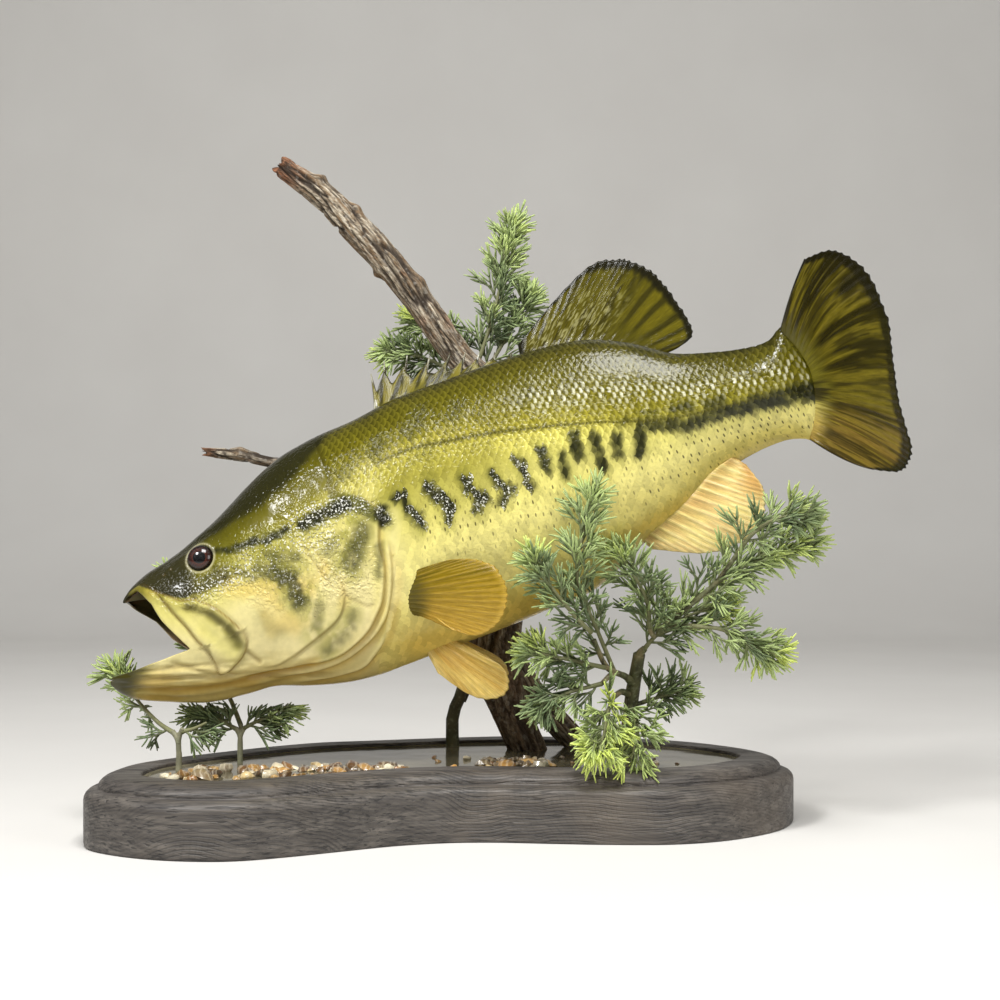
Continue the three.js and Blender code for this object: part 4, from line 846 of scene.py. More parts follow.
def scaleCoat(name, way, values, region, shape, material):
    corners, faces = shape
    found, chance = scaleCentres(values, region)
    n, k = len(found), len(corners)
    s, v = found[:, 0], found[:, 1]
    # steps in body places that make one mm along and one mm up at each root
    stepS = 0.05 / np.linalg.norm(flank(s + 0.05, v) - flank(s, v), axis=1)
    stepV = 0.004 / np.linalg.norm(flank(s, np.clip(v + 0.002, 0, 1)) - flank(s, np.clip(v - 0.002, 0, 1)), axis=1)
    size = 1 + 0.06 * (chance[:, 0] - 0.5)
    spanA = values["pitch"] * values["long"] * size
    spanB = values["row"] * values["wide"] * 0.5 * size
    tone = np.interp(s, *np.array(toneRows).T)
    slant = (np.interp(s + 0.05, *np.array(toneRows).T) - tone) / 0.05
    a = (corners[None, :, 0] - 0.5) * spanA[:, None]
    b = corners[None, :, 1] * spanB[:, None] + 0.1 * (chance[:, 1] - 0.5)[:, None] * a
    placeS = np.clip(s[:, None] + a * stepS[:, None], 0.01, tailEnd - 0.01)
    placeV = np.clip(v[:, None] + b * stepV[:, None] + a * stepS[:, None] * slant[:, None], 0.001, 0.999)
    root = flank(s, v, 1.0)
    chart = flank(placeS, placeV, 1.0)
    onHead = values is cheekValues
    level = np.ones(n) if not onHead else region(root[:, 0], root[:, 2], s, v)
    belly = smooth(tone - v, 0.1, 0.3) * (not onHead)
    edge = 1 - 0.75 * smooth(-root[:, 0], 12, 36) * (not onHead)
    lift = values["lift"] * (1 - 0.62 * belly) * edge * level
    deep = values["root"] * (1 - 0.45 * belly)
    height = corners[None, :, 2] * (lift + deep)[:, None] - deep[:, None]
    if onHead:
        relief, _ = headRelief(chart[..., 0].ravel(), chart[..., 2].ravel(), placeS.ravel(), placeV.ravel())
        height = height + relief.reshape(height.shape)
    side = np.full(placeS.shape, float(way))
    points = flank(placeS, placeV, side) + flankNormal(placeS, placeV, side) * height[..., None]
    colour, dark = paint(chart[..., 0].ravel(), chart[..., 2].ravel(), placeS.ravel(), placeV.ravel())
    seen = flank(np.clip(s + 0.22 * spanA * stepS, 0.01, tailEnd - 0.01), v, 1.0)
    own, ownDark = paint(seen[:, 0], seen[:, 2], s, v)
    colour = colour.reshape(n, k, 3) * 0.6 + own[:, None] * 0.4
    if onHead:
        colour = paint(chart[..., 0].ravel(), chart[..., 2].ravel(), placeS.ravel(), placeV.ravel())[0].reshape(n, k, 3)
    # how strongly upper flank scales get a painted highlight on the rear edge and painted shade just behind the scale
    # ahead
    edgeLightAndShade = smooth(v - tone, -0.16, 0.02) * (0.25 if onHead else 1.0)
    over = np.interp(placeS, *np.array(toneRows).T)
    lineGap = np.abs(placeV - over) * 165
    line = 0.8 * smooth(-lineGap, -1.5, -0.2) * smooth(chart[..., 0], -58, -40) * (not onHead)
    colour = mixRows(colour, fishColours["lateral"], line)
    down = tone - v
    dots = smooth(down, 0.15, 0.22) * smooth(-down, -0.52, -0.34) * smooth(root[:, 0], -28, -12)
    dots = dots * np.where(found[:, 2] % 2 == 0, 1.0, 0.5) * smooth(chance[:, 2], 0.18, 0.8)
    tail = smooth(root[:, 0], 118, 138) * smooth(down, 0.08, 0.12) * smooth(-down, -0.36, -0.28)
    dots = np.maximum(dots, tail * smooth(chance[:, 2], 0.1, 0.7)) * (1 - ownDark) * (not onHead)
    front = smooth(-root[:, 0], -70, -40)
    high = np.clip((v - tone) / (1 - tone), 0, 1)
    # painted highlight band on the scale rims above the lateral line
    paintedShine = np.exp(-((high - 0.36) / 0.18) ** 2) * smooth(root[:, 0], 15, 60) * (not onHead)
    paintedShine = paintedShine * smooth(chance[:, 0], 0.05, 0.6)
    # glint roughens the varnish and also places painted glints, mostly on the dark blotches
    glint = 0.08 + 0.9 * ownDark * front + 0.14 * smooth(v - tone, -0.16, 0.0) * smooth(-high, -0.6, -0.35)
    glint = np.clip(glint, 0, 1)
    runS, _, _, _, run = rowTable(values)
    alongU = 0.03 + 0.94 * np.interp(s, runS, run / run[-1])
    bake = np.stack([alongU[:, None] + (corners[None, :, 0] - 0.5) * 0.003,
                     (0.02 + 0.96 * v)[:, None] + corners[None, :, 1] * 0.0015], -1)
    local = np.broadcast_to(corners[None, :, :2], (n, k, 2))
    layers = {
        "OFBake": bake, "scaleMap": local, "tint": toLinear(np.clip(colour, 0, 255)),
        "edgeLightAndShade": np.repeat(edgeLightAndShade, k).reshape(n, k), "dot": np.repeat(dots, k).reshape(n, k),
        "own": np.repeat(chance[:, 1], k).reshape(n, k), "glint": np.repeat(glint, k).reshape(n, k),
        "paintedShine": np.repeat(paintedShine, k).reshape(n, k),
    }
    return joinedPiece(name, points, faces, layers, material)


def scaleMaterial():
    material, tree, shader = newMaterial("scalePlates", **{
        "Roughness": 0.14, "Specular IOR Level": 0.24})
    place = addNode(tree, "SeparateXYZ", {0: addNode(tree, "UVMap", uv_map="scaleMap").outputs[0]}).outputs
    across = reckon(tree, "ABSOLUTE", place["Y"])
    tint = attribute(tree, "tint", "Color")
    edgeLightAndShade = attribute(tree, "edgeLightAndShade")
    rear = reckon(tree, "MULTIPLY_ADD", reckon(tree, "MULTIPLY", across, across), 0.16, place["X"])
    # painted shade on each plate just behind the free edge of the scale ahead
    shadow = reckon(tree, "MULTIPLY", spread(tree, rear, 0.55, 0.8, 1.0, 0.0), edgeLightAndShade)
    darker = mixColour(tree, shadow, tint, (0.72, 0.7, 0.62, 1), "MULTIPLY")
    # painted highlight along the raised rear edge of each plate
    crescentHighlight = reckon(tree, "MULTIPLY", spread(tree, rear, 0.79, 0.88), edgeLightAndShade)
    edgeLitAndShaded = mixColour(tree, crescentHighlight, darker, (1.55, 1.53, 1.75, 1), "MULTIPLY")
    dx = reckon(tree, "MULTIPLY", reckon(tree, "SUBTRACT", place["X"], 0.74), 3.4)
    dy = reckon(tree, "MULTIPLY", place["Y"], 0.66)
    reach = reckon(tree, "SQRT", reckon(tree, "ADD", reckon(tree, "MULTIPLY", dx, dx),
                                        reckon(tree, "MULTIPLY", dy, dy)))
    dot = reckon(tree, "MULTIPLY", spread(tree, reach, 0.15, 0.25, 1.0, 0.0), reckon(tree, "MULTIPLY", attribute(tree, "dot"), 0.85))
    spotted = mixColour(tree, dot, edgeLitAndShaded, shade(62, 56, 26))
    vary = spread(tree, attribute(tree, "own"), 0.0, 1.0, 0.88, 1.12)
    toned = mixColour(tree, 1.0, spotted, addNode(tree, "CombineColor", {0: vary, 1: vary, 2: vary}).outputs[0],
                      "MULTIPLY")
    # painted glints: white specks where glint is high
    lit = spread(tree, attribute(tree, "glint"), 0.36, 0.85)
    glintNoise = addNode(tree, "TexNoise", {"Vector": objectPoint(tree), "Scale": 820.0, "Detail": 1.0})
    paintedGlint = reckon(tree, "MULTIPLY", spread(tree, glintNoise.outputs[0], 0.54, 0.66), lit)
    # painted highlight: pale rims on the scales in the shine band
    rim = reckon(tree, "MULTIPLY", spread(tree, rear, 0.72, 0.86), spread(tree, across, 0.6, 0.2))
    rim = reckon(tree, "MULTIPLY", reckon(tree, "MULTIPLY", rim, attribute(tree, "paintedShine")), 0.6)
    shineRimmed = mixColour(tree, rim, toned, shade(226, 224, 198))
    flecksAndGlints = mixColour(tree, reckon(tree, "MULTIPLY", paintedGlint, 0.8), shineRimmed, shade(226, 225, 212))
    look = useGroup(tree, varnishedPaint, Colour=flecksAndGlints, Mottle=0.24, MottleScale=420.0, Lumps=0.16,
                    LumpScale=360.0)
    beads = addNode(tree, "TexNoise", {"Vector": objectPoint(tree), "Scale": 430.0, "Detail": 1.0})
    height = reckon(tree, "MULTIPLY", spread(tree, beads.outputs[0], 0.38, 0.64), attribute(tree, "glint"))
    bump = addNode(tree, "Bump", {"Height": height, "Strength": 0.9, "Distance": 0.0011, "Normal": look["Normal"]})
    tree.links.new(look["Colour"], shader.inputs["Base Color"])
    tree.links.new(bump.outputs[0], shader.inputs["Normal"])
    return material


def cheekRegion(x, z, s, v):
    # scaled part of the cheek and of the gill cover, fading at its edge
    cheek = insideLine([(-126, 178), (-106, 186), (-92, 176), (-80, 160), (-76, 145), (-84, 134), (-100, 136),
                        (-114, 150), (-124, 160), (-126, 178)], x, z)
    cover = insideLine([(-74, 194), (-60, 200), (-51, 192), (-50, 172), (-53, 156), (-60, 162), (-68, 174),
                        (-74, 194)], x, z)
    nape = insideLine([(-124, 208), (-112, 202), (-98, 202), (-84, 212), (-80, 224), (-90, 238), (-104, 232),
                       (-116, 219), (-124, 208)], x, z)
    return smooth(np.maximum(np.maximum(cheek, cover), nape), -1.5, 4)


onePlate = scaleShape()
plateFinish = scaleMaterial()
for sideName, way in (("left", 1), ("right", -1)):
    coat = scaleCoat("scales_" + sideName, way, scaleValues, coatRegion, onePlate, plateFinish)
    small = scaleCoat("cheek_scales_" + sideName, way, cheekValues, cheekRegion, onePlate, plateFinish)
    print("scales", sideName, len(coat.data.polygons), len(small.data.polygons), "faces")


# eyes
eyeValues = {"rings": 28, "around": 56, "pupil": 0.5, "iris": 0.84}


def makeEye(name, way, material):
    at, axis = eyeFrame(way)
    bm = bmesh.new()
    bmesh.ops.create_uvsphere(bm, u_segments=eyeValues["around"], v_segments=eyeValues["rings"], radius=1)
    mesh = bpy.data.meshes.new(name)
    bm.to_mesh(mesh)
    bm.free()
    flat = np.empty(len(mesh.vertices) * 3)
    mesh.vertices.foreach_get("co", flat)
    ball = flat.reshape(-1, 3)
    across = unit(np.cross(axis, [0, 0, 1.0]))
    up = np.cross(across, axis) * 1.0
    r, deep = eyeSpot["glass"], eyeSpot["depth"]
    points = at + (ball[:, 2:] * deep - eyeSpot["sunk"]) * axis + r * (ball[:, :1] * across + ball[:, 1:2] * up)
    mesh.vertices.foreach_set("co", (points * mm).ravel())
    front = across * (1 if across[0] < 0 else -1)
    sideways = (points - at) @ front / r
    upward = (points - at) @ up / r
    tear = 0.1 * np.clip(sideways, 0, 1) ** 2       # the pupil draws out a little toward the snout
    radial = np.hypot(sideways, upward) - tear + (ball[:, 2] < 0) * 2
    addLayers(mesh, {"radial": radial, "turn": np.arctan2(upward, sideways)})
    return finishPiece(name, mesh, material, ("eye_" + name[4:],))


def eyeMaterial():
    material, tree, shader = newMaterial("glassEye", **{
        "Roughness": 0.3, "Coat Weight": 1.0, "Coat Roughness": 0.01, "Coat IOR": 1.5,
        "Specular IOR Level": 0.1})
    radial, turn = attribute(tree, "radial"), attribute(tree, "turn")
    spoke = addNode(tree, "CombineXYZ", {"X": reckon(tree, "MULTIPLY", turn, 5.0),
                                         "Y": reckon(tree, "MULTIPLY", radial, 3.0)}).outputs[0]
    streak = addNode(tree, "TexNoise", {"Vector": spoke, "Scale": 2.4, "Detail": 4.0, "Roughness": 0.6})
    blotch = addNode(tree, "TexNoise", {"Vector": objectPoint(tree), "Scale": 260.0, "Detail": 2.0})
    wander = reckon(tree, "MULTIPLY_ADD", streak.outputs[0], 0.06, reckon(tree, "ADD", radial, -0.03))
    rings = colourRamp(tree, wander, [
        (0.0, shade(4, 4, 6)), (0.46, shade(5, 4, 6)), (0.49, shade(84, 40, 22)), (0.53, shade(48, 13, 8)),
        (0.62, shade(34, 10, 7)), (0.74, shade(24, 9, 6)), (0.86, shade(18, 10, 7)),
        (0.95, shade(6, 5, 5))])
    bronze = reckon(tree, "MULTIPLY", spread(tree, streak.outputs[0], 0.45, 0.72),
                    reckon(tree, "MULTIPLY", spread(tree, radial, 0.48, 0.58),
                           spread(tree, radial, 0.74, 0.9, 1.0, 0.0)))
    flecksAndGlints = mixColour(tree, reckon(tree, "MULTIPLY", bronze, 0.5), rings, shade(112, 52, 26))
    smoky = mixColour(tree, reckon(tree, "MULTIPLY", spread(tree, blotch.outputs[0], 0.5, 0.7), 0.35), flecksAndGlints,
                      shade(24, 14, 10))
    bowl = reckon(tree, "MULTIPLY_ADD", streak.outputs[0], 0.25, spread(tree, radial, 0.44, 0.8))
    bump = addNode(tree, "Bump", {"Height": bowl, "Strength": 0.7, "Distance": 0.0012})
    tree.links.new(smoky, shader.inputs["Base Color"])
    tree.links.new(bump.outputs[0], shader.inputs["Normal"])
    return material


eyeGlass = eyeMaterial()
for sideName, way in (("left", 1), ("right", -1)):
    makeEye("eye_" + sideName, way, eyeGlass)
print("eyes made")


# fins
def finPoint(fin, t, u):
    a, b = along(fin["root"], t), along(fin["tip"], t)
    u = u[..., None]
    if "mid" in fin:
        m = along(fin["mid"], t)
        return a * (1 - u) ** 2 + (2 * m - 0.5 * a - 0.5 * b) * 2 * u * (1 - u) + b * u * u
    bow = np.array(fin.get("bow", (0, 0, 0)), float)
    return a + (b - a) * u + bow * (4 * u * (1 - u) * np.sin(np.pi * t)[..., None])


def rayShape(t, u, count, fork, seed):
    # height 0..1 of the fin rays, which split in two past the fork
    wander = 0.35 * (layeredNoise(np.stack([t * 6, u * 1.5, 0 * t + seed], -1), seed) - 0.5) / count
    single = np.abs(((t + wander) * count) % 1 - 0.5) * 2
    double = np.abs(((t + wander) * count * 2 + 0.5) % 1 - 0.5) * 2
    split = smooth(u, fork, fork + 0.25)
    ridge = np.exp(-(single / 0.36) ** 2) * (1 - split) + np.exp(-(double / 0.5) ** 2) * split
    return ridge


def makeFin(name, fin, nodes, material):
    count, span = fin["rays"], fin["span"]

    def place(a, b):
        t = np.where(a <= 0.5, 2 * a, 2 - 2 * a)
        face = np.where(a <= 0.5, 1.0, -1.0)
        u = b.copy()
        ridge = rayShape(t, u, count, fin["fork"], fin["seed"])
        ragged = layeredNoise(np.stack([t * count * 1.3, 0 * t, 0 * t + fin["seed"]], -1), 3) - 0.5
        trim = 1 - fin["scallop"] * (1 - ridge) - fin["scallop"] * 1.6 * (ragged + 0.5)
        reach = u * (1 - smooth(u, 0.4, 1.0) * (1 - trim))
        here = finPoint(fin, t, reach)
        alongFin = finPoint(fin, np.clip(t + 0.004, 0, 1), reach) - finPoint(fin, np.clip(t - 0.004, 0, 1), reach)
        outward = finPoint(fin, t, reach + 0.004) - finPoint(fin, t, reach - 0.004)
        normal = unit(np.cross(alongFin, outward))
        edge = np.minimum(np.minimum(t, 1 - t) * span, (1 - u) * fin["length"])
        rounded = np.sqrt(1 - (1 - np.clip(edge / 2.2, 0, 1)) ** 2)
        half = fin["thick"] * (1 - 0.62 * u) * rounded
        fleshy = fin["fleshy"] * np.exp(-(u / fin["fleshyReach"]) ** 2) * np.sqrt(np.clip(edge / 7, 0, 1))
        wrinkle = fin.get("wrinkle", 0.12) * fin["fleshy"] * np.exp(-(u / (1.7 * fin["fleshyReach"])) ** 2) * ridge
        relief = fin["relief"] * (ridge - 0.3) * (1 - 0.7 * u) * rounded * smooth(u, 0.02, 0.12)
        ripple = fin["ripple"] * np.sin(2 * np.pi * t * fin["waves"] + 1.3) * u * u
        ends = smooth(u, 0.0, 0.02)
        offset = face * (half + (fleshy + wrinkle) * rounded + relief) * ends + ripple
        points = here + normal * offset[:, None]
        colour = fin["paint"](t, u, ridge, points)
        return {"points": points, "tint": toLinear(colour), "finMap": np.stack([t * span, reach * fin["length"]], -1),
                "ray": ridge * smooth(u, 0.03, 0.15), "wear": u}

    return gridPiece(name, fin["grid"][0], fin["grid"][1], place, material, nodes)


def streaks(t, u, across, lengthwise, seed):
    return layeredNoise(np.stack([t * across, u * lengthwise, 0 * t + seed * 7.3], -1), seed, 3)


def tones(*rows):
    return [np.array(row, float) for row in rows]


def paintCaudal(t, u, ridge, points):
    olive, deep, tan, light, margin, body = tones((76, 68, 12), (36, 31, 6), (132, 106, 46), (122, 110, 30),
                                                  (24, 21, 7), (120, 113, 34))
    colour = np.broadcast_to(olive, (len(t), 3)) + 0.0
    band = streaks(t, u, 30, 1.4, 4)
    colour = mixRows(colour, tan, 0.85 * smooth(t, 0.6, 0.8) * smooth(u, 0.06, 0.3))
    colour = mixRows(colour, light, 0.75 * smooth(t, 0.28, 0.34) * smooth(-t, -0.42, -0.36) * smooth(u, 0.45, 0.7))
    calm = 1 - 0.55 * smooth(t, 0.6, 0.75)
    colour = mixRows(colour, light, 0.7 * calm * smooth(band, 0.5, 0.62) * smooth(u, 0.08, 0.3))
    colour = mixRows(colour, deep, 0.88 * calm * smooth(-band, -0.48, -0.38) * smooth(u, 0.05, 0.2))
    rays = streaks(t, u, 90, 2.2, 8)
    colour = mixRows(colour, deep, 0.6 * smooth(-rays, -0.47, -0.36) * smooth(u, 0.05, 0.2))
    colour = mixRows(colour, light * 1.15, 0.6 * smooth(ridge * rays, 0.38, 0.6) * smooth(u, 0.05, 0.2))
    blot = np.exp(-(((t - 0.25) / 0.035) ** 2 + ((u - 0.8) / 0.2) ** 2))
    colour = mixRows(colour, margin, 0.9 * smooth(blot + 1.6 * (rays - 0.5), 0.3, 0.9))
    near = smooth(-u - 0.25 * (rays - 0.5), -0.25, -0.04)
    colour = mixRows(colour, ramp(t, [(0, *body * 0.5), (0.3, *body * 0.9), (0.64, *body), (0.74, 196, 182, 96),
                                      (0.86, 184, 160, 80), (1, 146, 118, 52)]), 0.92 * near)
    patch = np.exp(-(((t - 0.62) / 0.085) ** 2)) * smooth(-u, -0.26, -0.04)
    colour = mixRows(colour, deep, 0.8 * smooth(patch + 1.3 * (rays - 0.5), 0.2, 0.8))
    rim = smooth(u + 0.07 * (band - 0.5), 0.88, 0.95)
    sides = smooth(-t, -0.035, -0.012) + smooth(t, 0.972, 0.992) * 0.8
    return mixRows(colour, margin, np.clip(np.maximum(rim, sides), 0, 0.95))


def paintSoftDorsal(t, u, ridge, points):
    olive, deep, light, grey, margin = tones((78, 72, 14), (44, 40, 9), (100, 91, 16), (186, 182, 140), (24, 22, 9))
    colour = np.broadcast_to(olive, (len(t), 3)) + 0.0
    band = streaks(t, u, 20, 1.5, 14)
    stripes = 0.5 + 0.5 * np.sin(2 * np.pi * (t * 13 + 0.5 * (band - 0.5)))
    back = smooth(t, 0.45, 0.62)
    colour = mixRows(colour, light, 0.7 * back * smooth(stripes, 0.3, 0.9) * smooth(u, 0.2, 0.5))
    colour = mixRows(colour, deep, 0.72 * back * smooth(-stripes, -0.5, -0.1) * smooth(u, 0.2, 0.5))
    fine = streaks(t, u, 60, 5, 15)
    colour = mixRows(colour, deep, 0.7 * (1 - back) * smooth(fine, 0.48, 0.6))
    glints = streaks(t, u, 150, 16, 17)
    front = smooth(-t, -0.6, -0.45) * smooth(-u, -0.85, -0.5)
    colour = mixRows(colour, grey, 0.55 * front * smooth(glints, 0.55, 0.68))
    rim = smooth(u + 0.06 * (band - 0.5), 0.87, 0.95)
    lead = smooth(-t, -0.05, -0.015)
    return mixRows(colour, margin, np.clip(np.maximum(rim, lead), 0, 0.92))


def paintAnal(t, u, ridge, points):
    cream, pink, orange, pale, fold = tones((226, 205, 128), (222, 186, 124), (190, 144, 78), (238, 224, 164),
                                            (178, 140, 76))
    band = streaks(t, u, 16, 1.4, 24)
    colour = np.broadcast_to(cream, (len(t), 3)) + 0.0
    colour = mixRows(colour, pink, 0.6 * smooth(band, 0.4, 0.6))
    colour = mixRows(colour, pale, 0.55 * ridge * smooth(u, 0.1, 0.3))
    colour = mixRows(colour, orange, 0.8 * smooth(t, 0.6, 0.85) * smooth(u, 0.35, 0.8))
    colour = mixRows(colour, fold, 0.5 * (1 - ridge) * smooth(-u, -0.45, -0.1) * smooth(u, 0.04, 0.1))
    return mixRows(colour, pale * 0.96, 0.5 * smooth(u, 0.93, 0.98))


def paintPelvic(t, u, ridge, points):
    yellow, orange, pale, brown = tones((206, 176, 92), (186, 146, 62), (226, 202, 128), (164, 122, 56))
    band = streaks(t, u, 14, 1.2, 34)
    colour = np.broadcast_to(yellow, (len(t), 3)) + 0.0
    colour = mixRows(colour, orange, 0.6 * smooth(band, 0.42, 0.6))
    colour = mixRows(colour, pale, 0.7 * np.maximum(smooth(-t, -0.2, -0.04), 0.55 * ridge * smooth(u, 0.1, 0.4)))
    colour = mixRows(colour, brown, 0.4 * np.exp(-(((t - 0.4) / 0.16) ** 2 + ((u - 0.3) / 0.2) ** 2)))
    return mixRows(colour, pale, 0.4 * smooth(u, 0.92, 0.98))


def paintPectoral(t, u, ridge, points):
    olive, ochre, tan, light, root = tones((94, 82, 6), (124, 102, 14), (180, 142, 50), (200, 166, 78),
                                           (80, 72, 22))
    band = streaks(t, u, 18, 1.3, 44)
    colour = mixRows(ramp(t, [(0, *olive), (0.35, *ochre), (0.75, *tan), (1, *tan)]), ochre, 0.2)
    colour = mixRows(colour, olive * 0.82, 0.6 * smooth(band, 0.48, 0.62) * smooth(-t, -0.6, -0.2))
    colour = mixRows(colour, light, 0.42 * ridge * smooth(u, 0.12, 0.4))
    colour = mixRows(colour, root, 0.85 * smooth(-u - 0.16 * (band - 0.5), -0.36, -0.16))
    colour = mixRows(colour, olive * 0.8, 0.5 * smooth(-t, -0.09, -0.03) * smooth(u, 0.05, 0.2))
    return mixRows(colour, light, 0.35 * smooth(u, 0.93, 0.98))


finTables = {
    "caudal_fin": {
        "root": [(205, -48, 314), (215, -52, 302), (222, -54, 290), (225, -53, 277.5), (225, -51, 263.5),
                 (223.5, -47, 246.5)],
        "mid": [(209.5, -63, 336), (223, -82, 330), (240, -95, 304.5), (248, -86, 273), (250, -75.5, 250.5),
                (240, -62, 234.5)],
        "tip": [(214, -88, 354), (226.5, -118, 355), (241, -140, 339), (253.5, -143, 310), (259, -128, 286.5),
                (264, -120, 263), (271.5, -121, 237), (268.5, -105, 225.5), (255, -78, 227)],
        "rays": 19, "fork": 0.35, "thick": 1.1, "relief": 0.38, "fleshy": 0.5, "fleshyReach": 0.12,
        "ripple": 0.6, "waves": 2.5, "scallop": 0.016, "span": 70, "length": 80, "grid": (380, 84),
        "seed": 3, "paint": paintCaudal, "slot": "fin_dark",
    },
    "dorsal_fin_soft": {
        "root": [(45, -6.5, 298), (67, -8, 303), (89, -10.5, 305), (110, -14, 303), (125, -17.5, 297)],
        "tip": [(43, -5, 309), (65.5, -6, 336.5), (89.5, -8.5, 360.5), (106, -11, 364.5), (116.5, -13, 363),
                (130.5, -16, 354.5), (140.5, -18, 342), (150.5, -20.5, 326.5), (154, -22, 313), (141, -18, 304.5)],
        "rays": 14, "fork": 0.4, "thick": 1.3, "relief": 0.1, "fleshy": 1.4, "fleshyReach": 0.12, "ripple": 0.5,
        "waves": 2, "scallop": 0.018, "span": 70, "length": 55, "grid": (300, 60), "seed": 4,
        "paint": paintSoftDorsal, "slot": "fin_dark",
    },
    "anal_fin": {
        "root": [(121, -16, 184), (132, -18, 192), (144, -21.5, 203), (156, -25.5, 215), (165, -28.5, 225),
                 (179, -33, 236)],
        "tip": [(128, -19, 177.5), (159, -27.5, 175), (179, -34, 179.5), (195, -40, 191), (198, -41.5, 206),
                (195.5, -40.5, 218), (186, -36.5, 231)],
        "bow": (0, -3, 0), "rays": 12, "fork": 0.35, "thick": 1.6, "relief": 0.5, "fleshy": 3.0,
        "fleshyReach": 0.22, "ripple": 0.6, "waves": 3, "scallop": 0.02, "span": 60, "length": 40,
        "grid": (260, 56), "seed": 5, "paint": paintAnal, "slot": "fin_pale",
    },
    "pelvic_fin_left": {
        "root": [(-16, -19, 114), (-8, -19, 117), (1, -19, 121)],
        "tip": [(-8, -22.5, 99), (10, -28, 87), (24, -32, 83), (35, -35, 86.5), (38, -35.5, 96), (31, -33, 106),
                (13, -27, 113.5)],
        "bow": (0, -2, 0), "rays": 6, "fork": 0.4, "thick": 1.5, "relief": 0.4, "fleshy": 2.4,
        "fleshyReach": 0.18, "ripple": 0.4, "waves": 2, "scallop": 0.014, "span": 34, "length": 46,
        "grid": (170, 60), "seed": 6, "paint": paintPelvic, "slot": "fin_pale",
    },
    "pectoral_fin_left": {
        "root": [(-34, -38.5, 160.5), (-31, -39, 149), (-22, -38.5, 138.5)],
        "tip": [(-14, -54, 168), (2, -62, 172.8), (18, -70, 173), (29, -77, 169), (36, -80.5, 158),
                (36.5, -80.5, 146), (30, -77, 133), (18, -71, 126.5), (5, -64, 129), (-7, -57, 136)],
        "bow": (0, -4, 0), "wrinkle": 0.02, "rays": 14, "fork": 0.45, "thick": 1.2, "relief": 0.22, "fleshy": 3.4,
        "fleshyReach": 0.13, "ripple": 0.5, "waves": 2, "scallop": 0.012, "span": 52, "length": 62,
        "grid": (260, 70), "seed": 7, "paint": paintPectoral, "slot": "fin_pale",
    },
}


def mirrorFin(fin, keep):
    # the same fin on the other flank, laid closer to the body
    root = [(x, -12 - y, z) for x, y, z in fin["root"]]
    tip = [(x, -6 + (-6 - y) * keep, z) for x, y, z in fin["tip"]]
    return {**fin, "root": root, "tip": tip, "bow": (0, 2, 0)}


finTables["pelvic_fin_right"] = mirrorFin(finTables["pelvic_fin_left"], 0.8)
finTables["pectoral_fin_right"] = {
    **mirrorFin(finTables["pectoral_fin_left"], 1),
    "tip": [(-22 + (x + 22) * 0.52, 34 + (-48 - y) * 0.3, z - 4) for x, y, z in finTables["pectoral_fin_left"]["tip"]],
}
spinyTable = {
    "root": [(-48, -6, 262), (-36, -6, 267), (-13.5, -6, 275.5), (9, -6, 282.5), (34, -6, 291)],
    "tips": [(-52.5, 7, 291), (-44, 8, 299.5), (-29, 9, 303), (-14, 9, 303.5), (-1, 9, 304.5), (9, 9, 305),
             (18, 9, 305), (28, 8.5, 305), (39, 7.5, 305)],
    "thick": 0.8, "sag": 0.3,
}


def finMaterial(name, rough, thin):
    material, tree, shader = newMaterial(name, **{
        "Roughness": rough, "Specular IOR Level": 0.28,
        "Subsurface Weight": thin, "Subsurface Scale": 0.003})
    shader.inputs["Subsurface Radius"].default_value = (1.0, 0.6, 0.25)
    flat = addNode(tree, "UVMap", uv_map="finMap").outputs[0]
    long = addNode(tree, "Mapping", {"Vector": flat, "Scale": (2.6, 0.12, 1.0)}).outputs[0]
    fibre = addNode(tree, "TexNoise", {"Vector": long, "Scale": 1.0, "Detail": 3.0, "Roughness": 0.55})
    tint = attribute(tree, "tint", "Color")
    level = spread(tree, fibre.outputs[0], 0.3, 0.7, 0.8, 1.16)
    brushed = mixColour(tree, 1.0, tint, addNode(tree, "CombineColor", {0: level, 1: level, 2: level}).outputs[0],
                        "MULTIPLY")
    look = useGroup(tree, varnishedPaint, Colour=brushed, Mottle=0.22, MottleScale=420.0, Lumps=0.15,
                    LumpScale=420.0)
    joints = addNode(tree, "TexWave", {"Vector": flat, "Scale": 0.34, "Distortion": 1.2, "Detail": 1.0},
                     bands_direction="Y")
    ribs = reckon(tree, "MULTIPLY", attribute(tree, "ray"), spread(tree, attribute(tree, "wear"), 0.25, 0.6))
    height = reckon(tree, "MULTIPLY_ADD", joints.outputs["Fac"], reckon(tree, "MULTIPLY", ribs, 0.35),
                    fibre.outputs[0])
    bump = addNode(tree, "Bump", {"Height": height, "Strength": 0.3, "Distance": 0.0006, "Normal": look["Normal"]})
    tree.links.new(look["Colour"], shader.inputs["Base Color"])
    tree.links.new(bump.outputs[0], shader.inputs["Normal"])
    return material


darkFinPaint = finMaterial("darkFinPaint", 0.16, 0.0)
paleFinPaint = finMaterial("paleFinPaint", 0.22, 0.1)
for finName, fin in finTables.items():
    makeFin(finName, fin, (finName,), darkFinPaint if fin["slot"] == "fin_dark" else paleFinPaint)


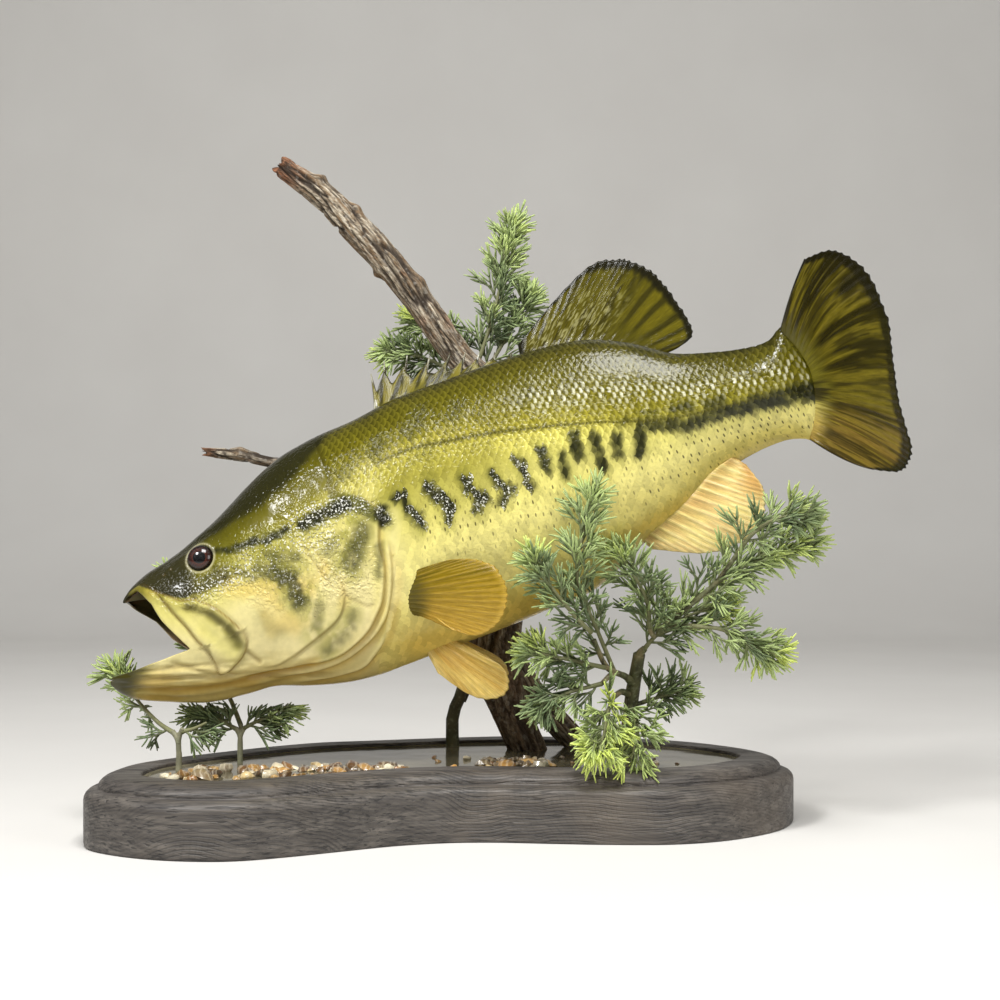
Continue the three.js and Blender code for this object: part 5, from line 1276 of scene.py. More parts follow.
def makeSpinyWeb():
    spines = len(spinyTable["tips"]) - 1

    def place(a, b):
        t = np.where(a <= 0.5, 2 * a, 2 - 2 * a)
        face = np.where(a <= 0.5, 1.0, -1.0)
        gap = np.abs((t * spines + 0.5) % 1 - 0.5) * 2
        root, tip = along(spinyTable["root"], t), along(spinyTable["tips"], t)
        top = 0.86 - spinyTable["sag"] * (1 - (1 - gap) ** 2) + 0.03 * np.sin(t * 91)
        here = root + (tip - root) * (b * top)[:, None]
        here[:, 1] += 1.6 * np.sin(np.pi * t * spines) * np.sin(np.pi * np.clip(b, 0, 1)) * 0.8
        normal = unit(np.cross(along(spinyTable["root"], np.clip(t + 0.01, 0, 1)) - along(
            spinyTable["root"], np.clip(t - 0.01, 0, 1)), tip - root))
        edge = np.minimum(np.minimum(t, 1 - t) * 85, (1 - b) * 30)
        half = spinyTable["thick"] * np.sqrt(1 - (1 - np.clip(edge / 2, 0, 1)) ** 2) * (1 - 0.4 * b)
        half = (half + 1.5 * np.exp(-(b / 0.16) ** 2) * np.clip(edge / 4, 0, 1)) * smooth(b, 0, 0.02)
        points = here + normal * (face * half)[:, None]
        olive, deep, ochre = tones((88, 83, 34), (40, 37, 18), (116, 107, 40))
        band = streaks(t, b, 46, 3, 54)
        colour = mixRows(np.broadcast_to(olive, points.shape), ochre, smooth(band, 0.42, 0.62))
        colour = mixRows(colour, deep, 0.75 * smooth(-band, -0.46, -0.36))
        colour = mixRows(colour, deep * 0.8, 0.7 * smooth(b, 0.9, 0.98))
        return {"points": points, "tint": toLinear(colour), "finMap": np.stack([t * 85, b * 28], -1),
                "ray": 1 - gap, "wear": b}

    return gridPiece("dorsal_web", 340, 22, place, darkFinPaint, ("dorsal_fin_spiny",))


# tubes joined into one piece: spines, stems, twigs and needles
def tubeShape(rings, sides):
    # unit tube lying along t with pointed ends; columns are t, cosine and sine
    bm = bmesh.new()
    bmesh.ops.create_cone(bm, cap_ends=True, segments=sides, radius1=1, radius2=1, depth=1)
    bmesh.ops.poke(bm, faces=[f for f in bm.faces if len(f.verts) != 4 or abs(f.normal.z) > 0.9])
    uprights = [e for e in bm.edges if abs(e.verts[0].co.z - e.verts[1].co.z) > 0.9]
    if rings > 1:
        bmesh.ops.subdivide_edges(bm, edges=uprights, cuts=rings - 1)
    for vert in bm.verts:
        vert.co = (vert.co.z + 0.5, vert.co.x, vert.co.y)
    return unitShape(bm)


def tubeCopies(paths, radii, shape, blunt=0.0, flatten=1.0):
    # paths (n, m, 3) and radii (n, m) bend one unit tube into n tubes
    corners = shape[0]
    n, m = paths.shape[:2]
    t = np.clip(corners[:, 0], 0, 1)
    k = len(t)
    pole = np.hypot(corners[:, 1], corners[:, 2]) < 0.01
    both = np.concatenate([paths, radii[:, :, None]], -1).transpose(1, 0, 2).reshape(m, -1)
    here = blend(both, t * (m - 1)).reshape(k, n, 4).transpose(1, 0, 2)
    ahead = blend(both, np.clip(t + 0.03, 0, 1) * (m - 1)).reshape(k, n, 4).transpose(1, 0, 2)
    behind = blend(both, np.clip(t - 0.03, 0, 1) * (m - 1)).reshape(k, n, 4).transpose(1, 0, 2)
    heading = unit(ahead[..., :3] - behind[..., :3])
    whole = unit(paths[:, -1] - paths[:, 0])
    flatish = np.where((np.abs(whole[:, 1]) > 0.8)[:, None], [1.0, 0, 0], [0, 1.0, 0])
    side = unit(np.cross(heading, flatish[:, None, :]))
    up = np.cross(side, heading)
    points = here[..., :3] + here[..., 3:] * (side * corners[None, :, 1:2] + up * corners[None, :, 2:3] * flatten)
    tip = np.where(pole & (t > 0.5), blunt, 0)[None, :, None] * here[..., 3:]
    return points + heading * tip


def makeSpines():
    t = np.linspace(0, 1, len(spinyTable["tips"]))
    root = along(spinyTable["root"], t) + np.array([0, 0, -3.0])
    tip = np.array(spinyTable["tips"], float)
    mid = (root + tip) / 2 + np.array([1.2, 0.6, -0.5])
    paths = np.stack([root, mid, tip], 1)
    radii = np.repeat([[2.1, 1.5, 0.35]], len(t), 0)
    shape = tubeShape(8, 8)
    points = tubeCopies(paths, radii, shape, 1.0)
    step = np.broadcast_to(shape[0][None, :, 0], points.shape[:2])
    grey, dark, pale = tones((126, 122, 100), (54, 50, 32), (186, 184, 168))
    # dark mottling on the spines, and pale flecks that are painted glints
    mottleAndGlint = layeredNoise(points.reshape(-1, 3) / 2.2, 6).reshape(step.shape)
    colour = mixRows(np.broadcast_to(grey, points.shape), dark, smooth(-mottleAndGlint, -0.55, -0.42))
    colour = mixRows(colour, pale, smooth(mottleAndGlint, 0.55, 0.68))
    colour = mixRows(colour, dark, 0.6 * smooth(-step, -0.25, -0.05))
    layers = {"finMap": np.stack([points[..., 0], step * 30], -1), "tint": toLinear(colour), "ray": 0 * step,
              "wear": step}
    return joinedPiece("dorsal_spines", points, shape[1], layers, darkFinPaint)


makeSpinyWeb()
makeSpines()
print("fins made")


# board
boardValues = {"around": 340, "grain": (9.0, 70.0, 150.0), "rim": 34.5, "resinTop": 39.5}
boardPlan = [
    (-221.6, -70), (-214, -91), (-195, -108), (-171, -120), (-145, -125.5), (-120, -124), (-92, -112),
    (-60, -94), (-30, -78), (0, -69), (30, -67.5), (65, -71.5), (100, -74.5), (135, -74), (165, -64.5),
    (190, -47), (209, -26), (220, -2), (223, 18), (216, 42), (199, 68), (173, 93), (140, 111), (100, 121),
    (60, 125.5), (25, 125.5), (-20, 115.5), (-60, 104), (-98, 93), (-130, 73), (-160, 47), (-190, 17),
    (-212, -13), (-221, -44),
]
boardEdge = [  # inset and height from the underside, up the moulding, over the rim and into the recess
    (2.0, 0), (0.4, 0.5), (0, 2), (0, 9), (0, 16), (0, 23), (0, 27.5), (0.3, 29.6), (1.2, 31.4), (2.8, 32.9),
    (5.0, 33.9), (7.6, 34.3), (8.5, 34.5), (8.9, 35.0), (8.7, 35.7), (8.7, 36.4), (9.3, 37.6), (10.6, 39.1),
    (12.6, 40.5), (15.2, 41.5), (18.2, 42), (24, 42), (30, 42), (33.2, 42), (34.1, 41.8), (34.5, 41.3), (34.6, 40),
    (34.7, 37), (34.9, 35.8),
]


def planPoint(turn, inset):
    n = len(boardPlan)
    wrapped = np.array(boardPlan[-3:] + boardPlan + boardPlan[:4], float)
    at = blend(wrapped, 3 + turn * n)
    run = blend(wrapped, 3 + turn * n + 0.05) - blend(wrapped, 3 + turn * n - 0.05)
    run = run / np.linalg.norm(run, axis=-1, keepdims=True)
    return at + np.stack([-run[..., 1], run[..., 0]], -1) * inset[..., None]


def ringPiece(name, profile, material, nodes):
    # a profile carried round the board's plan, its first and last rings filled across
    mesh, a, b = gridMesh(boardValues["around"], len(profile) - 1)
    row = np.array(profile, float)[np.rint(b * (len(profile) - 1)).astype(int)]
    flat = planPoint(a, row[:, 0])
    mesh.vertices.foreach_set("co", (np.column_stack([flat, row[:, 1]]) * mm).ravel())
    bm = bmesh.new()
    bm.from_mesh(mesh)
    bmesh.ops.remove_doubles(bm, verts=bm.verts, dist=1e-5)
    bmesh.ops.holes_fill(bm, edges=[e for e in bm.edges if e.is_boundary], sides=0)
    bmesh.ops.recalc_face_normals(bm, faces=bm.faces)
    bm.to_mesh(mesh)
    bm.free()
    piece = finishPiece(name, mesh, material, nodes, turn=False)
    for polygon in mesh.polygons:
        polygon.use_smooth = len(polygon.vertices) < 5
    return piece


def boardMaterial():
    material, tree, shader = newMaterial("stainedOak", **{
        "Roughness": 0.5, "Specular IOR Level": 0.4, "Coat Weight": 0.12, "Coat Roughness": 0.35})
    point = objectPoint(tree)
    grainX, grainY, grainZ = boardValues["grain"]
    laid = addNode(tree, "Mapping", {"Vector": point, "Scale": (grainX, grainY, grainZ)}).outputs[0]
    grain = useGroup(tree, woodFibre, Vector=laid, Scale=1.0, Warp=1.4)
    wide = addNode(tree, "Mapping", {"Vector": point, "Scale": (5.0, 22.0, 40.0)}).outputs[0]
    figure = useGroup(tree, woodFibre, Vector=wide, Scale=1.0, Warp=1.0)
    split = addNode(tree, "SeparateXYZ", {0: point}).outputs
    sway = addNode(tree, "TexNoise", {"Vector": point, "Scale": 11.0, "Detail": 2.0})
    climb = reckon(tree, "MULTIPLY_ADD", split["Y"], 0.5, split["Z"])
    climb = reckon(tree, "MULTIPLY_ADD", sway.outputs[0], 0.05, climb)
    across = reckon(tree, "MULTIPLY_ADD", sway.outputs[0], 0.08, split["X"])
    lines = reckon(tree, "MULTIPLY_ADD", reckon(tree, "SINE", reckon(tree, "MULTIPLY", climb, 2600.0)), 0.5, 0.5)
    rays = reckon(tree, "MULTIPLY_ADD", reckon(tree, "SINE", reckon(tree, "MULTIPLY", across, 1500.0)), 0.5, 0.5)
    figureAt = addNode(tree, "TexNoise", {"Vector": point, "Scale": 18.0, "Detail": 3.0, "Roughness": 0.6})
    shown = spread(tree, figureAt.outputs[0], 0.42, 0.62)
    grooves = reckon(tree, "MULTIPLY", spread(tree, lines, 0.35, 0.0), shown)
    beaded = reckon(tree, "MULTIPLY", spread(tree, rays, 0.35, 0.05), shown)
    base = colourRamp(tree, grain["Fibre"], [
        (0.25, shade(42, 39, 38)), (0.42, shade(66, 62, 59)), (0.55, shade(88, 83, 78)), (0.72, shade(116, 109, 101))])
    rings = mixColour(tree, reckon(tree, "MULTIPLY", spread(tree, figure["Rings"], 0.25, 0.9), 0.42), base,
                      shade(54, 50, 48))
    worn = mixColour(tree, reckon(tree, "MULTIPLY", reckon(tree, "SUBTRACT", lines, grooves), 0.1), rings,
                     shade(132, 121, 106))
    pored = mixColour(tree, reckon(tree, "MULTIPLY", grain["Pores"], 0.7), worn, shade(28, 26, 26))
    lined = mixColour(tree, reckon(tree, "MULTIPLY", grooves, 0.34), pored, shade(30, 28, 27))
    crossed = mixColour(tree, reckon(tree, "MULTIPLY", beaded, 0.14), lined, shade(34, 32, 31))
    patch = addNode(tree, "TexNoise", {"Vector": point, "Scale": 14.0, "Detail": 3.0})
    rubbed = mixColour(tree, reckon(tree, "MULTIPLY", spread(tree, patch.outputs[0], 0.5, 0.75), 0.35), crossed,
                       shade(118, 106, 92))
    tree.links.new(rubbed, shader.inputs["Base Color"])
    rough = spread(tree, grain["Fibre"], 0.3, 0.7, 0.62, 0.42)
    tree.links.new(rough, shader.inputs["Roughness"])
    height = reckon(tree, "MULTIPLY_ADD", grain["Pores"], -0.6, grain["Fibre"])
    height = reckon(tree, "SUBTRACT", height, reckon(tree, "MULTIPLY_ADD", beaded, 0.12, grooves))
    bump = addNode(tree, "Bump", {"Height": height, "Strength": 0.6, "Distance": 0.0008})
    tree.links.new(bump.outputs[0], shader.inputs["Normal"])
    return material


def resinMaterial():
    material, tree, shader = newMaterial("clearResin", **{
        "Roughness": 0.1, "IOR": 1.45, "Specular IOR Level": 0.3})
    point = objectPoint(tree)
    cloud = addNode(tree, "TexNoise", {"Vector": point, "Scale": 16.0, "Detail": 3.0})
    silt = addNode(tree, "TexNoise", {"Vector": point, "Scale": 70.0, "Detail": 4.0, "Roughness": 0.6})
    base = mixColour(tree, spread(tree, cloud.outputs[0], 0.35, 0.68), shade(82, 77, 60), shade(128, 121, 98))
    grit = mixColour(tree, reckon(tree, "MULTIPLY", spread(tree, silt.outputs[0], 0.55, 0.72), 0.4), base,
                     shade(56, 54, 50))
    swell = addNode(tree, "TexNoise", {"Vector": point, "Scale": 42.0, "Detail": 1.0})
    bump = addNode(tree, "Bump", {"Height": swell.outputs[0], "Strength": 0.4, "Distance": 0.0012})
    tree.links.new(grit, shader.inputs["Base Color"])
    tree.links.new(bump.outputs[0], shader.inputs["Normal"])
    return material


stainedOak = boardMaterial()
ringPiece("base_board", boardEdge, stainedOak, ("base_board",))
top = boardValues["resinTop"]
ringPiece("resin_pool", [(35.4, 36.2), (35.1, 36.6), (34.95, top + 0.5), (35.2, top + 0.45), (36.0, top + 0.1),
                         (37.4, top)], resinMaterial(), ("base_water",))
print("board and resin made")


# gravel
gravelValues = {"left": 230, "right": 30, "stray": 26, "size": (2.0, 6.4), "seed": 31}
gravelBeds = {
    "left": [(-176, -66), (-150, -80), (-118, -76), (-84, -60), (-44, -38), (-22, -29), (-24, -12), (-60, -16),
             (-92, -26), (-128, -34), (-160, -44), (-176, -66)],
    "right": [(20, -22), (44, -24), (64, -18), (60, 2), (34, 8), (18, -4), (20, -22)],
}


def pebbleShape():
    bm = bmesh.new()
    bmesh.ops.create_cube(bm, size=2)
    bmesh.ops.subdivide_edges(bm, edges=bm.edges, cuts=1, use_grid_fill=True)
    for vert in bm.verts:
        vert.co = vert.co.normalized() * (1.0 + 0.08 * math.sin(5 * vert.co.x + 3 * vert.co.y))
    return unitShape(bm)


def pebblePlaces():
    rng = np.random.default_rng(gravelValues["seed"])
    places = []
    for key in ("left", "right"):
        ring = np.array(gravelBeds[key], float)
        low, high = ring.min(0), ring.max(0)
        tries = low + rng.random((6000, 2)) * (high - low)
        tries = tries[insideLine(gravelBeds[key], tries[:, 0], tries[:, 1]) > -1]
        if key == "left":
            clumps = layeredNoise(np.column_stack([tries / 17, 0 * tries[:, 0]]), 35, 2)
            tries = tries[clumps > 0.44 + 0.05 * smooth(tries[:, 0], -120, -20)]
        sizes = rng.uniform(*gravelValues["size"], len(tries)) * rng.uniform(0.75, 1, len(tries))
        kept = np.zeros((0, 4))
        for (x, y), r in zip(tries, sizes):
            if len(kept) < gravelValues[key] and \
                    np.all(np.hypot(kept[:, 0] - x, kept[:, 1] - y) > 0.72 * (r + kept[:, 2])):
                kept = np.vstack([kept, (x, y, r, 1)])
        places.append(kept)
    n = gravelValues["stray"]
    places.append(np.column_stack([rng.uniform(-20, 150, n), rng.uniform(-34, 20, n), rng.uniform(1.2, 3.0, n),
                                   np.full(n, 0.6)]))
    return np.concatenate(places), rng


def makeGravel(material):
    corners, faces = pebbleShape()
    places, rng = pebblePlaces()
    n, k = len(places), len(corners)
    stretch = np.stack([rng.uniform(0.9, 1.45, n), rng.uniform(0.75, 1.1, n), rng.uniform(0.5, 0.8, n)], -1)
    lumpy = 1 + 0.3 * (rng.random((n, k)) - 0.5)
    local = corners[None] * lumpy[..., None] * stretch[:, None] * places[:, None, 2:3]
    turn, tip = rng.uniform(0, 6.28, n), rng.uniform(-0.4, 0.4, n)
    c, s = np.cos(turn)[:, None], np.sin(turn)[:, None]
    x, y, z = local[..., 0], local[..., 1], local[..., 2] + local[..., 0] * tip[:, None]
    level = boardValues["resinTop"] + places[:, 2] * (0.32 * rng.random(n) + 0.05)
    points = np.stack([x * c - y * s + places[:, :1], x * s + y * c + places[:, 1:2], z + level[:, None]], -1)
    stones = np.array([(196, 158, 98), (208, 184, 132), (146, 104, 58), (226, 216, 186), (168, 128, 70),
                       (104, 76, 48), (200, 188, 158), (136, 118, 88), (92, 78, 60), (190, 142, 76)], float)
    colour = stones[rng.integers(0, len(stones), n)] * rng.uniform(0.82, 1.1, (n, 1))
    layers = {"tint": np.repeat(toLinear(np.clip(colour, 0, 255))[:, None], k, 1),
              "own": np.repeat(rng.random(n)[:, None], k, 1)}
    return joinedPiece("gravel", points, faces, layers, material, ("gravel_left", "gravel_right"))


def gravelMaterial():
    material, tree, shader = newMaterial("wetPebbles", **{
        "Roughness": 0.32, "Coat Weight": 0.7, "Coat Roughness": 0.08, "Specular IOR Level": 0.5})
    point = objectPoint(tree)
    shifted = addNode(tree, "VectorMath", {0: point, 1: attribute(tree, "own", "Vector")}, operation="ADD")
    vein = addNode(tree, "TexNoise", {"Vector": shifted.outputs[0], "Scale": 300.0, "Detail": 4.0})
    band = addNode(tree, "TexWave", {"Vector": shifted.outputs[0], "Scale": 90.0, "Distortion": 9.0, "Detail": 2.0})
    tint = attribute(tree, "tint", "Color")
    veined = mixColour(tree, reckon(tree, "MULTIPLY", spread(tree, vein.outputs[0], 0.5, 0.66), 0.5), tint,
                       shade(104, 66, 36))
    banded = mixColour(tree, reckon(tree, "MULTIPLY", spread(tree, band.outputs["Fac"], 0.6, 0.95), 0.25), veined,
                       shade(240, 228, 200))
    look = useGroup(tree, varnishedPaint, Colour=banded, Mottle=0.3, MottleScale=700.0, Lumps=0.3, LumpScale=900.0)
    tree.links.new(look["Colour"], shader.inputs["Base Color"])
    tree.links.new(look["Normal"], shader.inputs["Normal"])
    return material


gravel = makeGravel(gravelMaterial())
print("gravel:", len(gravel.data.polygons), "faces")


# driftwood
# dark sets how much painted shadow darkens each piece below the fish
woodTables = {
    "driftwood_trunk": {
        "path": [(53, 62, 34), (42, 60, 58), (35, 58, 76.5), (29, 56, 100.5), (31.5, 55, 134.5), (39.5, 56, 175),
                 (47, 58, 216)],
        "radii": [12.5, 12.5, 14, 16.5, 16, 14.5, 13], "grid": (96, 190), "deep": 3.2, "ridges": 2.6,
        "dark": 0.6, "seed": 61, "knots": [], "tip": 0.0,
    },
    "driftwood_root": {
        "path": [(34, 60, 110), (52, 67, 78), (69, 72, 58), (92, 74, 35)],
        "radii": [10, 9.5, 8.8, 8.4], "grid": (72, 110), "deep": 2.2, "ridges": 2.2, "dark": 0.25, "seed": 62,
        "knots": [], "tip": 0.0,
    },
    "driftwood_limb": {
        "path": [(46.5, 58, 208), (41.5, 60, 252), (24.5, 61, 283.5), (3, 62, 307.5), (-20.5, 63, 340),
                 (-45, 64, 371.5), (-67.5, 66, 395), (-89.5, 68, 417), (-118.5, 70, 438)],
        "radii": [13, 12.2, 10.8, 9.6, 9.8, 10.6, 10.4, 9.2, 7.4], "grid": (96, 380), "deep": 2.0, "ridges": 2.3,
        "dark": 0.1, "seed": 63, "tip": 1.0,
        "knots": [(-90, 430, 4, 3.6), (-64, 411, 5, 4.6), (-54, 362, 3.5, 4.5), (-22, 358, 6, 2.0)],
    },
    "driftwood_twig": {
        "path": [(38, 55, 188), (-9, 50, 209), (-69.5, 47, 226), (-120, 45, 234.5), (-143, 44, 239),
                 (-165, 43, 241)],
        "radii": [4.5, 4.2, 4, 3.8, 4.2, 2.8], "grid": (48, 260), "deep": 0.9, "ridges": 1.6, "dark": 0.25,
        "seed": 64, "tip": 0.8, "knots": [(-143, 242, 4, 1.6), (-118, 232, 4, 1.2)],
    },
}


def pathFrames(path, t):
    heading = unit(along(path, np.clip(t + 0.01, 0, 1)) - along(path, np.clip(t - 0.01, 0, 1)))
    side = unit(np.cross(heading, np.array([0, 1.0, 0])))
    return heading, side, np.cross(side, heading)


def makeWood(name, wood, material):
    columns, rows = wood["grid"]
    length = np.linalg.norm(np.diff(np.array(wood["path"], float), axis=0), axis=1).sum()

    def place(a, b):
        t = np.clip((b - 0.012) / 0.976, 0, 1)
        angle = 2 * np.pi * a
        heading, side, up = pathFrames(wood["path"], t)
        centre = along(wood["path"], t)
        r = along(np.array(wood["radii"], float)[:, None], t)[:, 0]
        ring = np.stack([np.cos(angle), np.sin(angle), 0 * angle], -1)
        twist = 1.2 * t * length / 140
        c, s = np.cos(angle + twist), np.sin(angle + twist)
        run = t * length
        grip = wood["ridges"] * r / 10
        sample = np.stack([c * grip, s * grip, run / 34], -1)
        crack = 1 - np.abs(2 * layeredNoise(sample * 1.0, wood["seed"], 2) - 1)
        fine = 1 - np.abs(2 * layeredNoise(sample * [3.2, 3.2, 1.6], wood["seed"] + 5, 2) - 1)
        lump = layeredNoise(np.stack([c, s, run / 26], -1), wood["seed"] + 9, 2) - 0.5
        slit = smooth(crack, 0.8, 0.98)
        fissure = smooth(fine, 0.82, 0.98)
        height = 0.16 * r * lump - wood["deep"] * slit - 0.32 * wood["deep"] * fissure + 0.12 * wood["deep"]
        points = centre + (side * ring[:, :1] + up * ring[:, 1:2]) * (r + height)[:, None]
        knotty = np.zeros(len(t))
        for x, z, reach, high in wood["knots"]:
            near = np.exp(-(((points[:, 0] - x) ** 2 + (points[:, 2] - z) ** 2) / reach ** 2)) * (ring[:, 1] * 0 + 1)
            knotty = np.maximum(knotty, near)
            points += (side * ring[:, :1] + up * ring[:, 1:2]) * (high * near)[:, None]
        jag = layeredNoise(np.stack([c * 2.4, s * 2.4, 0 * c + 3], -1), wood["seed"] + 2, 2) - 0.5
        ends = smooth(t, 0.9, 1.0) * wood["tip"]
        points += heading * (ends * 16 * jag)[:, None]
        closed = np.maximum(smooth(-b, -0.012, -0.002), smooth(b, 0.988, 0.998))
        shut = (b < 0.001) | (b > 0.999)
        points = points + (centre - points) * (closed * 0.5)[:, None]
        points = np.where(shut[:, None], centre - heading * 2.0 * np.where(b > 0.5, wood["tip"], -1)[:, None], points)
        points[:, 2] = np.maximum(points[:, 2], boardValues["resinTop"] - 0.6)
        grain = layeredNoise(np.stack([c * grip * 5, s * grip * 5, run / 16], -1), wood["seed"] + 11, 3)
        grey, light, brown, black, rust = tones((148, 134, 113), (200, 188, 166), (116, 90, 62), (44, 35, 27),
                                                (134, 80, 50))
        colour = mixRows(np.broadcast_to(grey, points.shape), light, smooth(grain, 0.5, 0.68))
        colour = mixRows(colour, brown, 0.75 * smooth(-grain, -0.48, -0.36))
        patch = layeredNoise(points / 22, wood["seed"] + 13)
        colour = mixRows(colour, rust, 0.3 * smooth(patch, 0.58, 0.74))
        colour = mixRows(colour, rust, 0.7 * smooth(t, 0.9, 0.985) * wood["tip"])
        colour = mixRows(colour, brown, 0.5 * knotty)
        # painted shade: the cracks and fissures darkened almost black
        colour = mixRows(colour, black, 0.88 * np.maximum(slit, 0.75 * fissure))
        # painted shadow under the fish: lower wood darkened, most on the trunk
        low = smooth(-points[:, 2], -150, -95) * wood["dark"]
        colour = mixRows(colour, np.array([98, 78, 58.0]), 0.85 * low)
        return {"points": points, "tint": toLinear(colour), "barkMap": np.stack([angle * r, run], -1)}

    return gridPiece(name, columns, rows, place, material, (name,))


def barkMaterial():
    material, tree, shader = newMaterial("weatheredBark", **{"Roughness": 0.75, "Specular IOR Level": 0.3})
    laid = addNode(tree, "UVMap", uv_map="barkMap").outputs[0]
    stretched = addNode(tree, "Mapping", {"Vector": laid, "Scale": (0.55, 0.09, 1.0)}).outputs[0]
    grain = useGroup(tree, woodFibre, Vector=stretched, Scale=1.6, Warp=0.5)
    tint = attribute(tree, "tint", "Color")
    level = spread(tree, grain["Fibre"], 0.3, 0.7, 0.66, 1.3)
    fibres = mixColour(tree, 1.0, tint, addNode(tree, "CombineColor", {0: level, 1: level, 2: level}).outputs[0],
                       "MULTIPLY")
    pits = mixColour(tree, reckon(tree, "MULTIPLY", grain["Pores"], 0.55), fibres, shade(38, 30, 24))
    dust = addNode(tree, "TexNoise", {"Vector": objectPoint(tree), "Scale": 240.0, "Detail": 4.0})
    dusty = mixColour(tree, reckon(tree, "MULTIPLY", spread(tree, dust.outputs[0], 0.55, 0.7), 0.35), pits,
                      shade(176, 170, 158))
    tree.links.new(dusty, shader.inputs["Base Color"])
    height = reckon(tree, "MULTIPLY_ADD", dust.outputs[0], 0.3, grain["Fibre"])
    bump = addNode(tree, "Bump", {"Height": height, "Strength": 0.8, "Distance": 0.0012})
    tree.links.new(bump.outputs[0], shader.inputs["Normal"])
    return material


weatheredBark = barkMaterial()
for woodName, wood in woodTables.items():
    makeWood(woodName, wood, weatheredBark)
print("driftwood made")


# greenery
plantValues = {"seed": 71, "needle": (8.0, 13.0), "thick": 0.6}
# path, twig count, twig length, brightness, piece
sprigs = {
    "plant_back_top": ([(15.5, 80, 301.5), (28, 79, 340), (34, 80, 370), (39, 80, 394)], 25, 17, 0.5, "back"),
    "plant_back_right": ([(19, 80, 293), (34, 82, 318), (44, 84, 336), (50, 84, 346)], 16, 16, 0.35, "back"),
    "plant_back_left": ([(10, 82, 288), (-12, 82, 304), (-30, 80, 309), (-42, 79, 310)], 15, 16, 0.5, "back"),
    "plant_back_rise": ([(12, 84, 298), (2, 90, 316), (-14, 92, 326), (-26, 92, 332)], 12, 14, 0.5, "back"),
    "plant_front_rise": ([(104, -26, 100), (92, -44, 128), (79, -58, 160), (82, -60, 186), (87, -58, 208)],
                         22, 17, 0.35, "front"),
    "plant_front_rise_b": ([(88, -52, 127), (72, -62, 144), (60, -66, 160), (54, -67, 168)], 12, 16, 0.3, "front"),
    "plant_front_left": ([(97, -36, 104), (78, -46, 109), (62, -52, 113), (54, -54, 115)], 13, 16, 0.4, "front"),
    "plant_front_low_left": ([(95, -38, 94), (76, -46, 90), (60, -50, 84)], 11, 17, 0.15, "front"),
    "plant_front_mid": ([(124, -13, 114), (132, -20, 124), (146, -28, 134), (166, -32, 142)], 20, 23, 0.5, "front"),
    "plant_front_far": ([(149, -36, 142), (170, -44, 160), (194, -48, 173), (217, -50, 181)], 23, 20, 0.45, "front"),
    "plant_front_out": ([(152, -36, 130), (172, -42, 128), (186, -44, 120), (197, -44, 114)], 16, 17, 0.6, "front"),
    "plant_front_up": ([(126, -24, 128), (124, -34, 145), (116, -42, 160), (108, -44, 172)], 13, 18, 0.4, "front"),
    "plant_front_tip": ([(178, -54, 176), (188, -60, 190), (202, -62, 198), (214, -62, 200)], 12, 17, 0.3, "front"),
    "plant_front_drop": ([(104, -20, 84), (99, -42, 78), (96, -57, 66), (92, -66, 59)], 17, 20, 0.9, "front"),
    "plant_front_drop_b": ([(115, -3, 74), (118, -26, 66), (116, -46, 60), (112, -58, 50)], 16, 21, 0.85, "front"),
    "plant_front_side": ([(124, 2, 78), (134, -4, 82), (146, -8, 86)], 9, 16, 0.1, "front"),
    "plant_low_a_left": ([(-173, -35.5, 63), (-188, -22, 70), (-203, -6, 82), (-215, 0, 94)], 17, 16, 0.35, "low"),
    "plant_low_a_mid": ([(-168, -37.5, 64), (-160, -38, 66), (-152, -40, 70)], 12, 14, 0.15, "low"),
    "plant_low_b_left": ([(-138.5, -4.5, 61.5), (-148, -2, 66), (-160, 0, 70)], 11, 14, 0.1, "low"),
    "plant_low_b_right": ([(-133.5, -4.5, 62), (-122, -6, 68), (-108, -8, 74)], 13, 15, 0.25, "low"),
    "plant_mouth_back": ([(-136, -1, 63.5), (-150, 26, 84), (-170, 37, 110), (-183, 38, 138), (-186, 36, 154)],
                         20, 14, 0.4, "low"),
}
plantStems = {
    "plant_back_stem": ([(-1, 77, 38), (-1, 78, 60.5), (5.5, 80, 78), (12, 80, 112.5), (14, 84, 168),
                         (14, 86, 229.5), (14, 84, 268), (15, 80, 300)], [4.8, 4.5, 4.1, 3.6, 3.1, 2.7, 2.3, 1.9]),
    "plant_front_stem": ([(112, 19, 38), (115, 12, 57.5), (117.5, 2, 85), (121, -8, 110)], [5.2, 5, 4.6, 4]),
    "plant_low_stem_a": ([(-170.5, -34, 38), (-170, -35, 50), (-170, -36, 63)], [1.9, 1.8, 1.7]),
    "plant_low_stem_b": ([(-136, -3, 38), (-136, -4, 50), (-136, -4.5, 61)], [1.9, 1.8, 1.6]),
}
